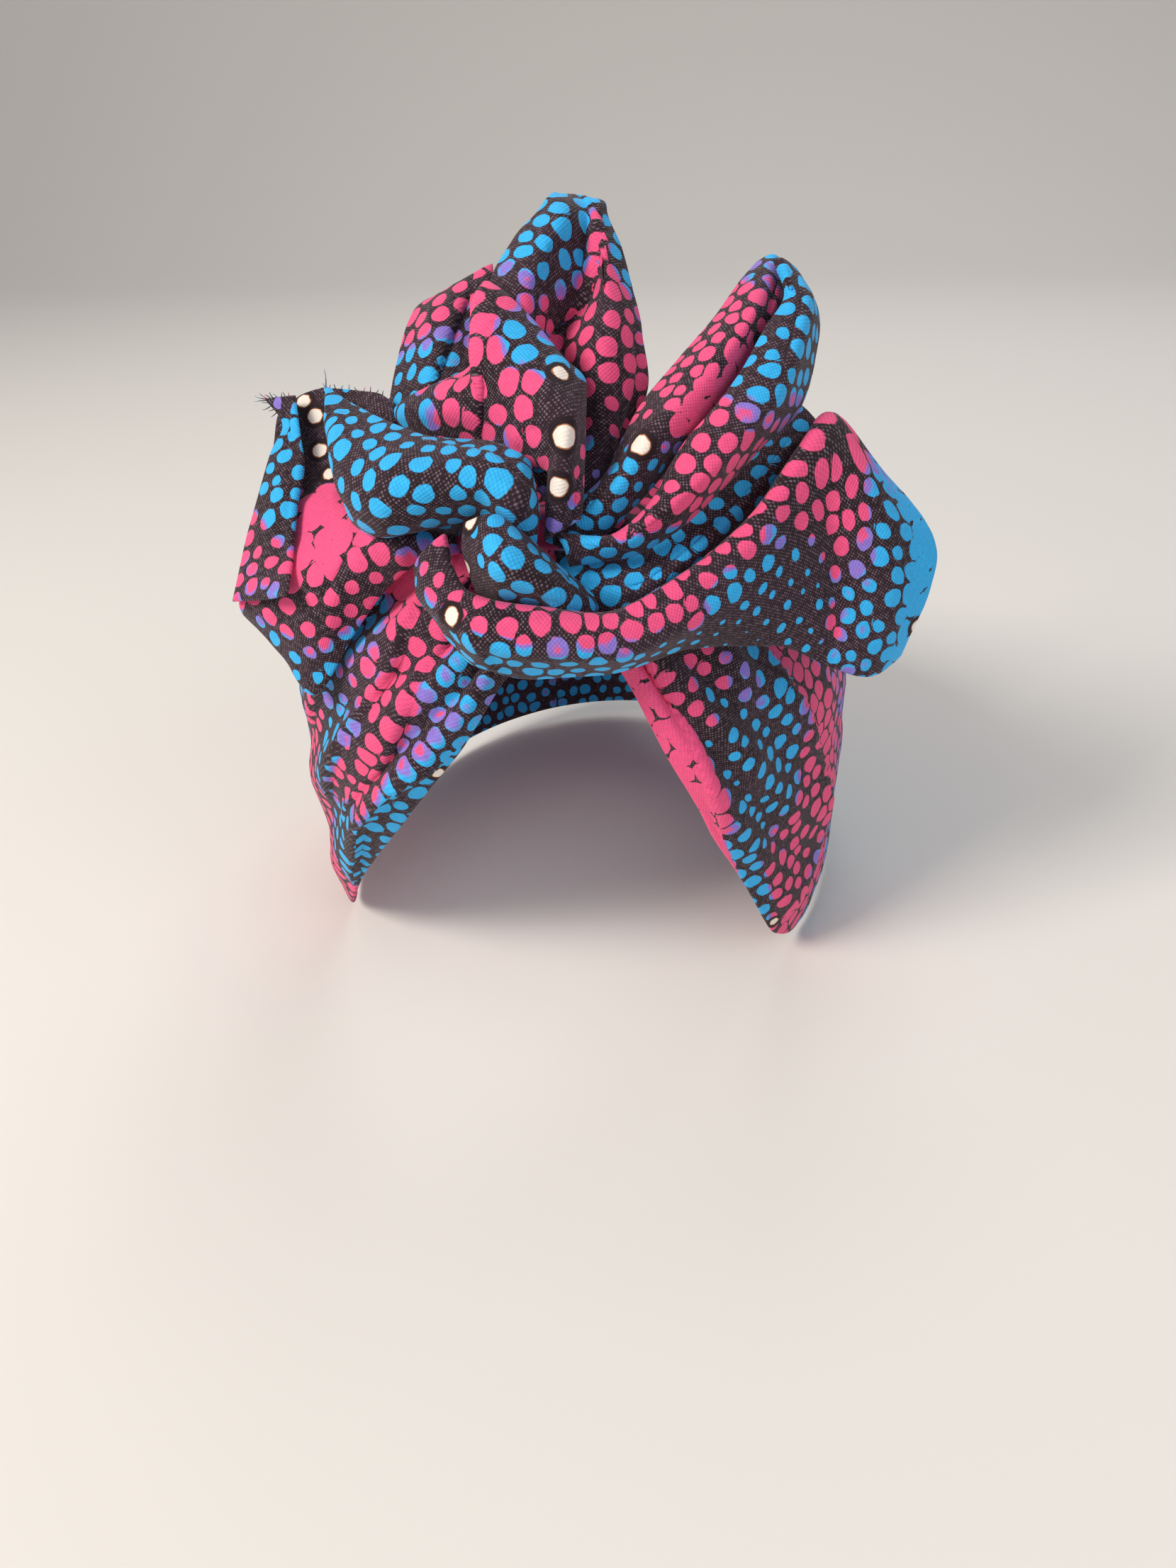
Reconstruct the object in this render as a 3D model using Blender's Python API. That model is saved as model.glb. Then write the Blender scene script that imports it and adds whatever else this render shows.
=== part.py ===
"""Wax print headband: a printed cotton band knotted in front into a bow of loops.

The wrap keeps the form that it has on a head. +Z is up and the wearer faces -Y.
The origin is the centre of the head hollow, at the level where the head is widest.

The band is a ring of cloth that lies on a head form. The bow is a stack of folded
cloth strips in front of it. Each strip is lofted through a short table of sections,
and is then laid on the strips beneath it, from the back of the bow to the front.
"""
import math
from dataclasses import dataclass

import bmesh
import bpy
import numpy as np
from mathutils import Vector
from mathutils.bvhtree import BVHTree

# Driving dimensions, in millimetres
MM = 0.001
CLOTH = 1.6                    # wall of the doubled cotton
LAY_GAP = 0.5                  # air between one layer and the next
LAYER = CLOTH + LAY_GAP        # pitch of the layers in a stack
HEAD_HALF_WIDTH = 75.0
HEAD_HALF_DEPTH = 97.0
HEAD_CROWN = 92.0              # crown above the widest level
HEAD_CLEAR = 0.4               # air between the head form and the band

# The bow's own frame: its origin is on the band at the knot
KNOT = np.array([10.0, -76.0, 62.0])
BOW_TURN = math.radians(16.0)  # the bow faces this far to the viewer's right
BOW_TILT = math.radians(20.0)  # and this far up

# Band: pleats that fan from the knot, and the hem along the lower edge
BAND_COLUMNS = 60
BAND_ROWS = 10
BAND_PLEATS = 4
BAND_PLEAT_DEPTH = 3.0

# Bow strips: cells along and across each sheet
CELLS_ALONG = 14
CELLS_ACROSS = 8
CELLS_FOLDED = 13
PINCH = LAYER + 0.9            # the two walls of a folded strip at its root
TIP_ARC = math.radians(150.0)  # a loop is full in its middle and part full at its tip
FULL_WIDTH = 20.0              # a section this wide has the whole tuck
FLAT_SHARE = 0.45              # a side fold lies flat this far from its root
LIFT_PASSES = 18               # how far a lift spreads through the cloth
ROOT_REACH = 0.3               # share of a strip that sinks with its root
LIFT_TRIES = 8
LIFT_STEP = 0.05
SINK_STEP = 0.25
FAR_OUT = 200.0
PROBES = (0.0, 0.25, 0.5, 0.75)  # where the lift is tested within a cell

# Edge of the band, going round from the back: azimuth from the front in degrees,
# positive to the viewer's right, then lower edge, upper edge and bulge in mm
BAND_EDGES = [
    # azimuth  lower  upper  bulge
    (-180, -60, 36, 2.0),
    (-130, -61, 40, 2.5),
    (-90, -63, 50, 3.5),
    (-60, -65, 58, 3.5),
    (-45, -51, 62, 3.5),
    (-33, -32, 65, 3.5),
    (-20, -8, 68, 4.0),
    (-6, 21, 70, 4.0),
    (4, 42, 71, 3.0),
    (16, 43, 71, 3.0),
    (25, 18, 70, 4.0),
    (34, -11, 67, 4.0),
    (41, -30, 65, 3.5),
    (52, -57, 61, 3.5),
    (62, -64, 58, 3.5),
    (90, -63, 50, 3.5),
    (130, -61, 40, 2.5),
    (180, -60, 36, 2.0),
]

# Strips of the bow. A row is a section across the strip, from its root at the knot to
# its free end. A station is (right, up, out) in the bow's frame, in mm.
LEFT_LOOP = [
    # hem             ridge           hollow          top
    ((-19, 5, 6), (-20, 8, 9), (-19, 9, 7), (-18, 12, 3)),
    ((-29, 3, 2), (-29, 8, 6), (-28, 13, 0), (-27, 18, -8)),
    ((-37, -2, -3), (-37, 9, 3), (-37, 19, -14), (-36, 34, -26)),
    ((-46, -12, -8), (-44, 7, 0), (-45, 22, -22), (-44, 42, -33)),
    ((-59, -27, -16), (-52, 0, -3), (-51, 23, -25), (-51, 48, -35)),
    ((-66, -17, -19), (-62, -2, -10), (-59, 21, -26), (-57, 47, -36)),
    ((-75, -6, -23), (-75, -3, -20), (-68, 22, -30), (-64, 42, -37)),
]
LEFT_CUFF = [
    # rim             crown           fold
    ((-76, -3, -18), (-68, -3, -11), (-60, -2, -5)),
    ((-72, 12, -23), (-65, 9, -16), (-59, 7, -13)),
    ((-68, 24, -26), (-62, 21, -20), (-58, 18, -18)),
    ((-65, 33, -29), (-60, 31, -24), (-56, 29, -22)),
    ((-62, 39, -31), (-59, 39, -28), (-57, 38, -26)),
    ((-64, 46, -33), (-61, 46, -32), (-58, 46, -31)),
]
BACK_PETAL = [
    # left            crown           right
    ((-5, 10, 3), (-2, 11, 4), (0, 11, 3)),
    ((-19, 30, -8), (-12, 31, -4), (-6, 33, -6)),
    ((-34, 40, -18), (-21, 44, -8), (-9, 48, -12)),
    ((-31, 53, -23), (-20, 54, -13), (-8, 57, -16)),
    ((-26, 64, -27), (-17, 63, -18), (-7, 65, -18)),
    ((-20, 67, -29), (-14, 69, -24), (-7, 72, -22)),
]
TOP_PETAL = [
    # left           left crown       valley          right crown     right
    ((0, 16, 4), (3, 16, 5), (6, 16, 3), (9, 15, 5), (12, 14, 4)),
    ((-6, 32, -2), (0, 33, 1), (7, 32, -6), (15, 31, 2), (21, 28, -1)),
    ((-8, 48, -5), (-1, 48, 0), (6, 50, -9), (16, 46, 3), (27, 42, -4)),
    ((-8, 62, -7), (0, 60, 0), (12, 62, -10), (18, 60, 0), (25, 58, -6)),
    ((-2, 73, -8), (5, 70, -2), (14, 71, -10), (18, 70, -3), (23, 71, -8)),
    ((4, 79, -10), (9, 77, -5), (15, 77, -9), (18, 76, -6), (21, 78, -10)),
    ((8, 84, -12), (10, 83, -10), (14, 83, -11), (17, 82, -10), (20, 82, -12)),
]
INNER_FOLD = [
    # upper           crown           lower
    ((2, 4, 5), (3, -3, 10), (4, -10, 11)),
    ((18, 3, 6), (18, -5, 11), (18, -12, 9)),
    ((29, 8, 6), (31, 1, 10), (34, -5, 5)),
    ((38, 14, 3), (41, 8, 7), (46, 3, 0)),
    ((47, 21, -1), (50, 15, 3), (55, 11, -5)),
    ((55, 28, -6), (58, 23, -2), (64, 19, -9)),
    ((63, 34, -9), (66, 30, -7), (69, 27, -11)),
]
RIGHT_PETAL_FRONT = [
    # left            crown           crease
    ((0, 6, 6), (2, 5, 8), (4, 4, 7)),
    ((5, 12, 7), (8, 10, 11), (12, 6, 8)),
    ((14, 19, 8), (16, 16, 14), (20, 12, 9)),
    ((23, 33, 6), (27, 29, 15), (33, 24, 9)),
    ((32, 43, 3), (37, 38, 12), (46, 33, 3)),
    ((42, 53, -1), (46, 48, 8), (55, 46, -3)),
    ((49, 61, -5), (53, 58, 1), (60, 55, -6)),
    ((54, 66, -9), (57, 67, -7), (61, 65, -10)),
]
RIGHT_PETAL_REAR = [
    # crease          crown           right
    ((2, 8, 10), (4, 4, 12), (5, 0, 10)),
    ((13, 6, 11), (15, 4, 15), (17, 1, 11)),
    ((22, 11, 12), (24, 9, 17), (29, 6, 11)),
    ((33, 23, 11), (36, 18, 18), (41, 16, 9)),
    ((40, 28, 10), (44, 25, 16), (50, 24, 5)),
    ((48, 37, 8), (51, 33, 13), (60, 32, 1)),
    ((53, 48, 5), (57, 44, 9), (65, 43, -3)),
    ((57, 57, 0), (61, 55, 3), (67, 53, -6)),
    ((56, 65, -5), (60, 63, -4), (65, 59, -9)),
]
CROOK_FOLD = [
    # inner           crown           outer
    ((-34, 33, -18), (-33, 37, -13), (-32, 39, -16)),
    ((-25, 28, -9), (-24, 36, -2), (-23, 42, -9)),
    ((-14, 26, -2), (-13, 36, 6), (-13, 46, -2)),
    ((-11, 24, 1), (-10, 44, 7), (-9, 63, 1)),
    ((-6, 23, 4), (-3, 40, 11), (0, 54, 5)),
    ((-1, 22, 7), (3, 34, 15), (6, 45, 8)),
    ((2, 20, 9), (6, 29, 17), (11, 39, 9)),
    ((1, 14, 9), (5, 20, 15), (10, 25, 8)),
    ((0, 6, 7), (4, 8, 9), (8, 10, 7)),
]
UPPER_LEFT_FOLD = [
    # upper           crown           lower
    ((-2, 23, 10), (-1, 13, 13), (-2, 5, 10)),
    ((-5, 25, 11), (-6, 15, 19), (-7, 7, 13)),
    ((-11, 28, 8), (-13, 19, 18), (-15, 12, 11)),
    ((-23, 30, 3), (-24, 19, 14), (-25, 11, 7)),
    ((-32, 34, -5), (-34, 20, 6), (-35, 10, -1)),
    ((-40, 39, -13), (-44, 26, -4), (-43, 15, -8)),
    ((-48, 45, -19), (-49, 33, -12), (-47, 22, -13)),
]
KNOT_ROLL = [
    # lower           crown           upper
    ((-17, 1, 13), (-18, 6, 15), (-17, 11, 14)),
    ((-15, -5, 17), (-13, 4, 24), (-11, 12, 17)),
    ((-11, -7, 18), (-9, 1, 28), (-5, 8, 18)),
    ((-1, -9, 17), (-1, -3, 26), (0, 3, 17)),
    ((5, -13, 14), (6, -8, 19), (6, -3, 14)),
    ((10, -15, 12), (10, -11, 13), (10, -7, 12)),
]
FRONT_SASH = [
    # lower           crown           upper
    ((-29, 3, 8), (-26, 6, 12), (-22, 9, 12)),
    ((-29, -3, 8), (-26, -1, 14), (-21, 2, 15)),
    ((-25, -9, 9), (-22, -8, 16), (-18, -4, 18)),
    ((-17, -20, 12), (-14, -14, 22), (-11, -7, 20)),
    ((-4, -24, 12), (-2, -16, 22), (-1, -9, 20)),
    ((11, -24, 11), (11, -17, 21), (11, -11, 19)),
    ((33, -20, 8), (31, -11, 18), (31, -3, 17)),
    ((52, -21, 4), (48, -4, 13), (46, 8, 17)),
    ((65, -27, 1), (64, -1, 5), (58, 22, 14)),
    ((76, -31, -2), (78, -2, 3), (67, 30, 7)),
    ((86, -27, -8), (94, -3, -6), (81, 17, -3)),
]

# A strip that folds over returns behind itself: where it is along its folded way, how
# far along the front it has come, and how far behind the front it lies
FOLD_WAY = [
    # way   along  behind
    (0.00, 0.00, 0.00),
    (0.40, 0.80, 0.02),
    (0.46, 0.96, 0.12),
    (0.50, 1.00, 0.50),
    (0.54, 0.96, 0.88),
    (0.60, 0.80, 0.98),
    (1.00, 0.12, 1.00),
]


@dataclass(frozen=True)
class Strip:
    """One folded strip of the bow, from its table of sections."""

    name: str
    sections: list
    tuck: float                # how far the two long edges turn back
    colour: tuple
    fold: str = "none"         # "none", "tip" or "side"
    depth: float = 0.0         # how far behind the front a folded strip returns
    returns_to: float = 0.12   # where its hidden edge ends, 1 being the fold


# From the back of the bow to the front
STRIPS = [
    Strip("left_loop", LEFT_LOOP, 0.5, (0.60, 0.05, 0.18)),
    Strip("left_cuff", LEFT_CUFF, 1.5, (0.03, 0.25, 0.55)),
    Strip("back_petal", BACK_PETAL, 2.0, (0.30, 0.10, 0.35)),
    Strip("top_petal", TOP_PETAL, 1.0, (0.05, 0.20, 0.45), "tip", 12.0),
    Strip("inner_fold", INNER_FOLD, 1.5, (0.02, 0.15, 0.30)),
    Strip("right_petal_front", RIGHT_PETAL_FRONT, 3.0, (0.55, 0.04, 0.15)),
    Strip("right_petal_rear", RIGHT_PETAL_REAR, 3.0, (0.35, 0.05, 0.20)),
    Strip("crook_fold", CROOK_FOLD, 2.0, (0.45, 0.04, 0.14)),
    Strip("upper_left_fold", UPPER_LEFT_FOLD, 3.0, (0.02, 0.22, 0.50), "side", 6.0, 0.5),
    Strip("knot_roll", KNOT_ROLL, 4.0, (0.04, 0.05, 0.08)),
    Strip("front_sash", FRONT_SASH, 2.5, (0.10, 0.04, 0.08), "side", 9.0),
]
BAND_COLOUR = (0.25, 0.03, 0.10)


def bow_axes():
    """Directions right, up and out of the bow, in the part's frame."""
    out = np.array([
        math.sin(BOW_TURN) * math.cos(BOW_TILT),
        -math.cos(BOW_TURN) * math.cos(BOW_TILT),
        math.sin(BOW_TILT),
    ])
    right = np.array([math.cos(BOW_TURN), math.sin(BOW_TURN), 0.0])
    return right, np.cross(out, right), out


RIGHT, UP, OUT = bow_axes()


def smooth_through(knots, values, at):
    """Curve through the values at the knots, read at some places, with no overshoot."""
    knots = np.asarray(knots, float)
    values = np.asarray(values, float)
    at = np.clip(at, knots[0], knots[-1])
    step = np.diff(knots).reshape((-1,) + (1,) * (values.ndim - 1))
    rise = np.diff(values, axis=0) / step
    slope = np.empty_like(values)
    slope[0] = rise[0]
    slope[-1] = rise[-1]
    same_way = rise[:-1] * rise[1:] > 0
    before = step[:-1] + 2.0 * step[1:]
    after = 2.0 * step[:-1] + step[1:]
    safe_low = np.where(same_way, rise[:-1], 1.0)
    safe_high = np.where(same_way, rise[1:], 1.0)
    mean = (before + after) / (before / safe_high + after / safe_low)
    slope[1:-1] = np.where(same_way, mean, 0.0)
    cell = np.clip(np.searchsorted(knots, at, side="right") - 1, 0, len(knots) - 2)
    width = knots[cell + 1] - knots[cell]
    part = ((at - knots[cell]) / width).reshape((-1,) + (1,) * (values.ndim - 1))
    width = width.reshape(part.shape)
    return (
        values[cell] * (1 + 2 * part) * (1 - part) ** 2
        + slope[cell] * width * part * (1 - part) ** 2
        + values[cell + 1] * part ** 2 * (3 - 2 * part)
        + slope[cell + 1] * width * part ** 2 * (part - 1)
    )


def head_point(azimuth, height, clear):
    """Point at an azimuth (radians) and height, a distance outside the head form."""
    ring = math.sqrt(max(1.0 - (height / HEAD_CROWN) ** 2, 0.0)) if height > 0 else 1.0
    aside, ahead = math.sin(azimuth), math.cos(azimuth)
    radius = ring / math.hypot(aside / HEAD_HALF_WIDTH, ahead / HEAD_HALF_DEPTH)
    x = radius * aside
    y = -radius * ahead
    normal = np.array([
        x / HEAD_HALF_WIDTH ** 2,
        y / HEAD_HALF_DEPTH ** 2,
        height / HEAD_CROWN ** 2 if height > 0 else 0.0,
    ])
    normal /= np.linalg.norm(normal)
    return np.array([x, y, height]) + normal * clear


def band_grid():
    """Middle surface of the band: columns round the head, rows from lower to upper edge."""
    table = np.array(BAND_EDGES, float)
    degrees = np.linspace(-180.0, 180.0, BAND_COLUMNS + 1)[:-1]
    edges = smooth_through(table[:, 0], table[:, 1:], degrees)
    grid = np.empty((BAND_COLUMNS, BAND_ROWS + 1, 3))
    for column, degree in enumerate(degrees):
        lower, upper, bulge = edges[column]
        azimuth = math.radians(degree)
        pleating = math.cos(azimuth / 2) ** 2
        for row in range(BAND_ROWS + 1):
            across = row / BAND_ROWS
            height = lower + (upper - lower) * across
            ridge = 0.5 - 0.5 * math.cos(2 * math.pi * BAND_PLEATS * across)
            swell = bulge * math.sin(math.pi * across) ** 0.6
            clear = HEAD_CLEAR + CLOTH / 2 + swell
            clear += BAND_PLEAT_DEPTH * pleating * ridge
            grid[column, row] = head_point(azimuth, height, clear)
    return grid


def head_shell():
    """Open grid over the whole head form, which keeps the bow out of the hollow."""
    columns = 48
    heights = np.concatenate([
        np.linspace(-70.0, 0.0, 8),
        HEAD_CROWN * np.sin(np.linspace(0.1, math.pi / 2, 14)),
    ])
    grid = np.empty((columns, len(heights), 3))
    for column in range(columns):
        azimuth = 2 * math.pi * column / columns
        for row, height in enumerate(heights):
            grid[column, row] = head_point(azimuth, height, HEAD_CLEAR)
    return grid


def fold_way(count, returns_to):
    """Places along a strip that folds over, with how far behind the front each lies."""
    table = np.array(FOLD_WAY)
    table[-1, 1] = returns_to
    way = np.linspace(0.0, 1.0, count + 1)
    return smooth_through(table[:, 0], table[:, 1:], way).T


def front_surface(strip, along, across):
    """Front of a strip at places along and across it, in the bow's frame."""
    sections = np.array(strip.sections, float)
    middle = sections.mean(axis=1)
    travel = np.concatenate([[0.0], np.cumsum(np.linalg.norm(np.diff(middle, axis=0), axis=1))])
    stations = np.linspace(0.0, 1.0, sections.shape[1])
    lengthways = smooth_through(travel / travel[-1], sections, along)
    grid = np.array([smooth_through(stations, section, across) for section in lengthways])
    width = np.linalg.norm(lengthways[:, -1] - lengthways[:, 0], axis=1)
    tuck = strip.tuck * np.clip(along / ROOT_REACH, 0.0, 1.0)
    tuck *= np.clip(width / FULL_WIDTH, 0.0, 1.0)
    grid[:, :, 2] -= tuck[:, None] * np.abs(2 * across[None, :] - 1) ** 4
    return grid


def strip_grid(strip):
    """Middle surface of a strip in the bow's frame, before it is laid on the others."""
    along = np.linspace(0.0, 1.0, CELLS_ALONG + 1)
    across = np.linspace(0.0, 1.0, CELLS_ACROSS + 1)
    behind = np.zeros((1, 1))
    fullness = np.ones(1)
    if strip.fold == "tip":
        along, way_behind = fold_way(2 * CELLS_ALONG, strip.returns_to)
        behind = way_behind[:, None]
        fullness = np.sin(TIP_ARC * along)
    if strip.fold == "side":
        across, way_behind = fold_way(CELLS_FOLDED, strip.returns_to)
        behind = way_behind[None, :]
        fullness = np.clip((along - FLAT_SHARE) / (1 - FLAT_SHARE), 0.0, 1.0) ** 0.7
    grid = front_surface(strip, along, across)
    reach = PINCH + (strip.depth - PINCH) * fullness
    if strip.fold == "side":
        edges = front_surface(strip, along, np.array([0.0, 1.0]))
        straight = edges[:, :1] + (edges[:, 1:] - edges[:, :1]) * across[None, :, None]
        grid += (straight - grid) * behind[..., None]
    grid[..., 2] -= behind * reach[:, None]
    return grid


def to_part(grid):
    """Bow frame to the part's frame, in mm."""
    return KNOT + grid[..., :1] * RIGHT + grid[..., 1:2] * UP + grid[..., 2:] * OUT


def to_bow(point):
    """Part's frame to the bow's frame, in mm."""
    away = np.asarray(point, float) - KNOT
    return np.array([away @ RIGHT, away @ UP, away @ OUT])


def grid_faces(rows, columns, closed):
    """Quads of a grid, which may close on itself along its rows."""
    faces = []
    last = rows if closed else rows - 1
    for row in range(last):
        after = (row + 1) % rows
        for column in range(columns - 1):
            faces.append((
                row * columns + column,
                after * columns + column,
                after * columns + column + 1,
                row * columns + column + 1,
            ))
    return faces


class Pile:
    """The cloth laid so far, seen from the front of the bow."""

    def __init__(self):
        self.points = []
        self.faces = []
        self.tree = None

    def add(self, grid, closed=False):
        """Put a grid of the part's frame on the pile."""
        rows, columns = grid.shape[:2]
        start = len(self.points)
        self.points += [Vector(point) for point in grid.reshape(-1, 3)]
        self.faces += [
            tuple(start + corner for corner in face)
            for face in grid_faces(rows, columns, closed)
        ]
        self.tree = BVHTree.FromPolygons(self.points, self.faces)

    def lift_needed(self, place):
        """How far out a point of the bow frame must move to clear the cloth below."""
        start = to_part(np.array([place[0], place[1], FAR_OUT]))
        hit = self.tree.ray_cast(Vector(start), Vector(-OUT))[0]
        height = place[2] if hit is None else max(place[2], to_bow(hit)[2])
        for _ in range(LIFT_TRIES):
            point = to_part(np.array([place[0], place[1], height]))
            short = LAYER - self.tree.find_nearest(Vector(point))[3]
            if short <= 0:
                break
            height += short + LIFT_STEP
        return height - place[2]

    def room_under(self, places):
        """Least distance from some points of the bow frame to the cloth below them."""
        return min(self.tree.find_nearest(Vector(point))[3] for point in to_part(places))


def lifts(grid, pile):
    """Lift needed at each point of a grid, with probes inside its cells counted too."""
    need = np.array([[pile.lift_needed(place) for place in row] for row in grid])
    for down in PROBES:
        for side in PROBES:
            inside = (
                grid[:-1, :-1] * (1 - down) * (1 - side)
                + grid[1:, :-1] * down * (1 - side)
                + grid[:-1, 1:] * (1 - down) * side
                + grid[1:, 1:] * down * side
            )
            inner = np.array([[pile.lift_needed(place) for place in row] for row in inside])
            for along in (slice(None, -1), slice(1, None)):
                for across in (slice(None, -1), slice(1, None)):
                    need[along, across] = np.maximum(need[along, across], inner)
    return need


def same_for_both(lift, places):
    """Give the two layers of a folded strip the same lift at the same place."""
    turn = (len(places) + 1) // 2
    shared = [
        np.maximum(
            np.interp(places, places[:turn], line[:turn]),
            np.interp(places, places[-turn:][::-1], line[-turn:][::-1]),
        )
        for line in lift.T
    ]
    return np.array(shared).T


def spread(need, strip):
    """Lift that is at least the need at each point and falls off smoothly round it."""
    lift = need.copy()
    for _ in range(LIFT_PASSES):
        if strip.fold == "tip":
            lift = same_for_both(lift, fold_way(2 * CELLS_ALONG, strip.returns_to)[0])
        if strip.fold == "side":
            lift = same_for_both(lift.T, fold_way(CELLS_FOLDED, strip.returns_to)[0]).T
        padded = np.pad(lift, 1, mode="edge")
        around = padded[:-2, 1:-1] + padded[2:, 1:-1] + padded[1:-1, :-2] + padded[1:-1, 2:]
        lift = np.maximum(need, around / 4)
    return lift


def lay(strip, pile):
    """Lay a strip on the pile: its root sinks onto it and the rest clears it."""
    grid = strip_grid(strip)
    rows = len(grid)
    order = np.linspace(0.0, 1.0, rows)
    from_root = np.minimum(order, 1 - order) * 2 if strip.fold == "tip" else order
    sink = np.clip(1 - from_root / ROOT_REACH, 0.0, 1.0)[:, None]
    need = lifts(grid, pile)
    if need[sink[:, 0] > 0].max() <= 0:
        while pile.room_under(grid[[0, -1] if strip.fold == "tip" else [0]].reshape(-1, 3)) > LAYER:
            grid[..., 2] -= SINK_STEP * sink
        need = lifts(grid, pile)
    grid[..., 2] += spread(need, strip)
    placed = to_part(grid)
    pile.add(placed)
    return placed


def cloth_material(name, colour):
    """Plain weave cotton, matt."""
    material = bpy.data.materials.new(name + "_cotton")
    material.use_nodes = True
    shader = material.node_tree.nodes["Principled BSDF"]
    shader.inputs["Base Color"].default_value = (*colour, 1.0)
    shader.inputs["Roughness"].default_value = 0.8
    shader.inputs["Metallic"].default_value = 0.0
    return material


def sheet_object(name, grid, colour, closed=False):
    """Object for a sheet of cloth, with its wall made by Solidify."""
    rows, columns = grid.shape[:2]
    mesh = bpy.data.meshes.new(name)
    points = [tuple(point) for point in grid.reshape(-1, 3) * MM]
    mesh.from_pydata(points, [], grid_faces(rows, columns, closed))
    shell = bmesh.new()
    shell.from_mesh(mesh)
    bmesh.ops.recalc_face_normals(shell, faces=shell.faces)
    shell.to_mesh(mesh)
    shell.free()
    mesh.shade_smooth()
    sheet = bpy.data.objects.new(name, mesh)
    bpy.context.scene.collection.objects.link(sheet)
    mesh.materials.append(cloth_material(name, colour))
    wall = sheet.modifiers.new("wall", "SOLIDIFY")
    wall.thickness = CLOTH * MM
    wall.offset = 0.0
    wall.use_rim = True
    return sheet


def build():
    """Make the band, then lay the bow on it from back to front."""
    for leftover in list(bpy.data.objects):
        bpy.data.objects.remove(leftover, do_unlink=True)
    pile = Pile()
    pile.add(head_shell(), closed=True)
    band = band_grid()
    pile.add(band, closed=True)
    sheet_object("head_band", band, BAND_COLOUR, closed=True)
    for strip in STRIPS:
        sheet_object(strip.name, lay(strip, pile), strip.colour)


build()
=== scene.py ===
"""Wax print headband: the looks of the knotted cotton head wrap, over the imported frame.

The wrap is one length of dotted wax print cotton. A band goes round the head, and its ends
are knotted in front into a bow. Every piece of the bow is a strip of folded cloth, lofted
through a short table of sections and laid on the strips beneath it, as in the part's source.
Here each strip is a fine sheet with rolled edges, creases, laps and puckers, and it carries
its print as a UV map in metres and as attributes for the dye, the fill and the layer.
"""
import logging
import math
from collections.abc import Sequence
from dataclasses import KW_ONLY, dataclass, field
from enum import Enum

import bpy
import numpy as np
from mathutils import Matrix, Vector, noise
from mathutils.bvhtree import BVHTree


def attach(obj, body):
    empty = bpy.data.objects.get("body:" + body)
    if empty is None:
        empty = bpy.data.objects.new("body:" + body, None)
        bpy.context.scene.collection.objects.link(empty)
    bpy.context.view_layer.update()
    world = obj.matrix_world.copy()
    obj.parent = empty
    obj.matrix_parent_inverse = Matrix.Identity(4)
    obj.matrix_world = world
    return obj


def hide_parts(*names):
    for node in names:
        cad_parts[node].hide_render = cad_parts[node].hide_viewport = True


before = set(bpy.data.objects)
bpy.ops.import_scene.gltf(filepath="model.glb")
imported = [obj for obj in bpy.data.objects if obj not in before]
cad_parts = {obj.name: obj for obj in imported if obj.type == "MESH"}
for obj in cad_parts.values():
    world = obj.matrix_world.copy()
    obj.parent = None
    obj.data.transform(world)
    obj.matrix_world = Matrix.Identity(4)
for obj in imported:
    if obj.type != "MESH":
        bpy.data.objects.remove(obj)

LOG = logging.getLogger("headband")
MM = 0.001

Spot = tuple[float, float, float]
Row = tuple[Spot, ...]
NodeRow = tuple[str, str, dict, dict]


class Fold(Enum):
    """How a strip folds over."""

    NONE = "none"
    TIP = "tip"
    SIDE = "side"


class Held(Enum):
    """How a sheet of cloth is held."""

    STRETCHED = "stretched"
    FOLDED = "folded"


@dataclass(frozen=True)
class Dye:
    """A patch of the print: a row of a table under PRINT."""

    along: float
    across: float
    dye: float
    fill: float
    reach: float


@dataclass(frozen=True)
class Lap:
    """A crease or the edge of an overlap, drawn on a sheet.

    The path is in shares along and across the sheet. The cloth rises on the path's left by
    rise mm, sinks back over reach mm, and falls off within back mm on the right. Where the
    layer on the right is dyed in its own way, that is its dye and fill, over width mm. Where it
    is another stretch of the cloth, its dots don't meet those on the left, as far as apart mm.
    """

    rise: float
    reach: float
    back: float
    path: tuple[tuple[float, float], ...]
    dye: float = 0.0
    fill: float = 0.0
    width: float = 0.0
    apart: float = 0.0


# Tables of the cloth

# Edge of the band going round from the back: azimuth from the front in degrees, positive
# to the viewer's right, then lower edge, upper edge and bulge in mm
BAND_EDGES: list[tuple[float, ...]] = [
    # azimuth  lower  upper  bulge
    (-180, -60, 36, 2.0),
    (-130, -61, 40, 2.5),
    (-90, -63, 50, 3.5),
    (-60, -65, 58, 3.5),
    (-45, -51, 62, 3.5),
    (-33, -32, 65, 3.5),
    (-20, -8, 68, 4.0),
    (-6, 21, 70, 4.0),
    (4, 42, 71, 3.0),
    (16, 43, 71, 3.0),
    (25, 18, 70, 4.0),
    (34, -11, 67, 4.0),
    (41, -30, 65, 3.5),
    (52, -57, 61, 3.5),
    (62, -64, 58, 3.5),
    (90, -63, 50, 3.5),
    (130, -61, 40, 2.5),
    (180, -60, 36, 2.0),
]

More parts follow.
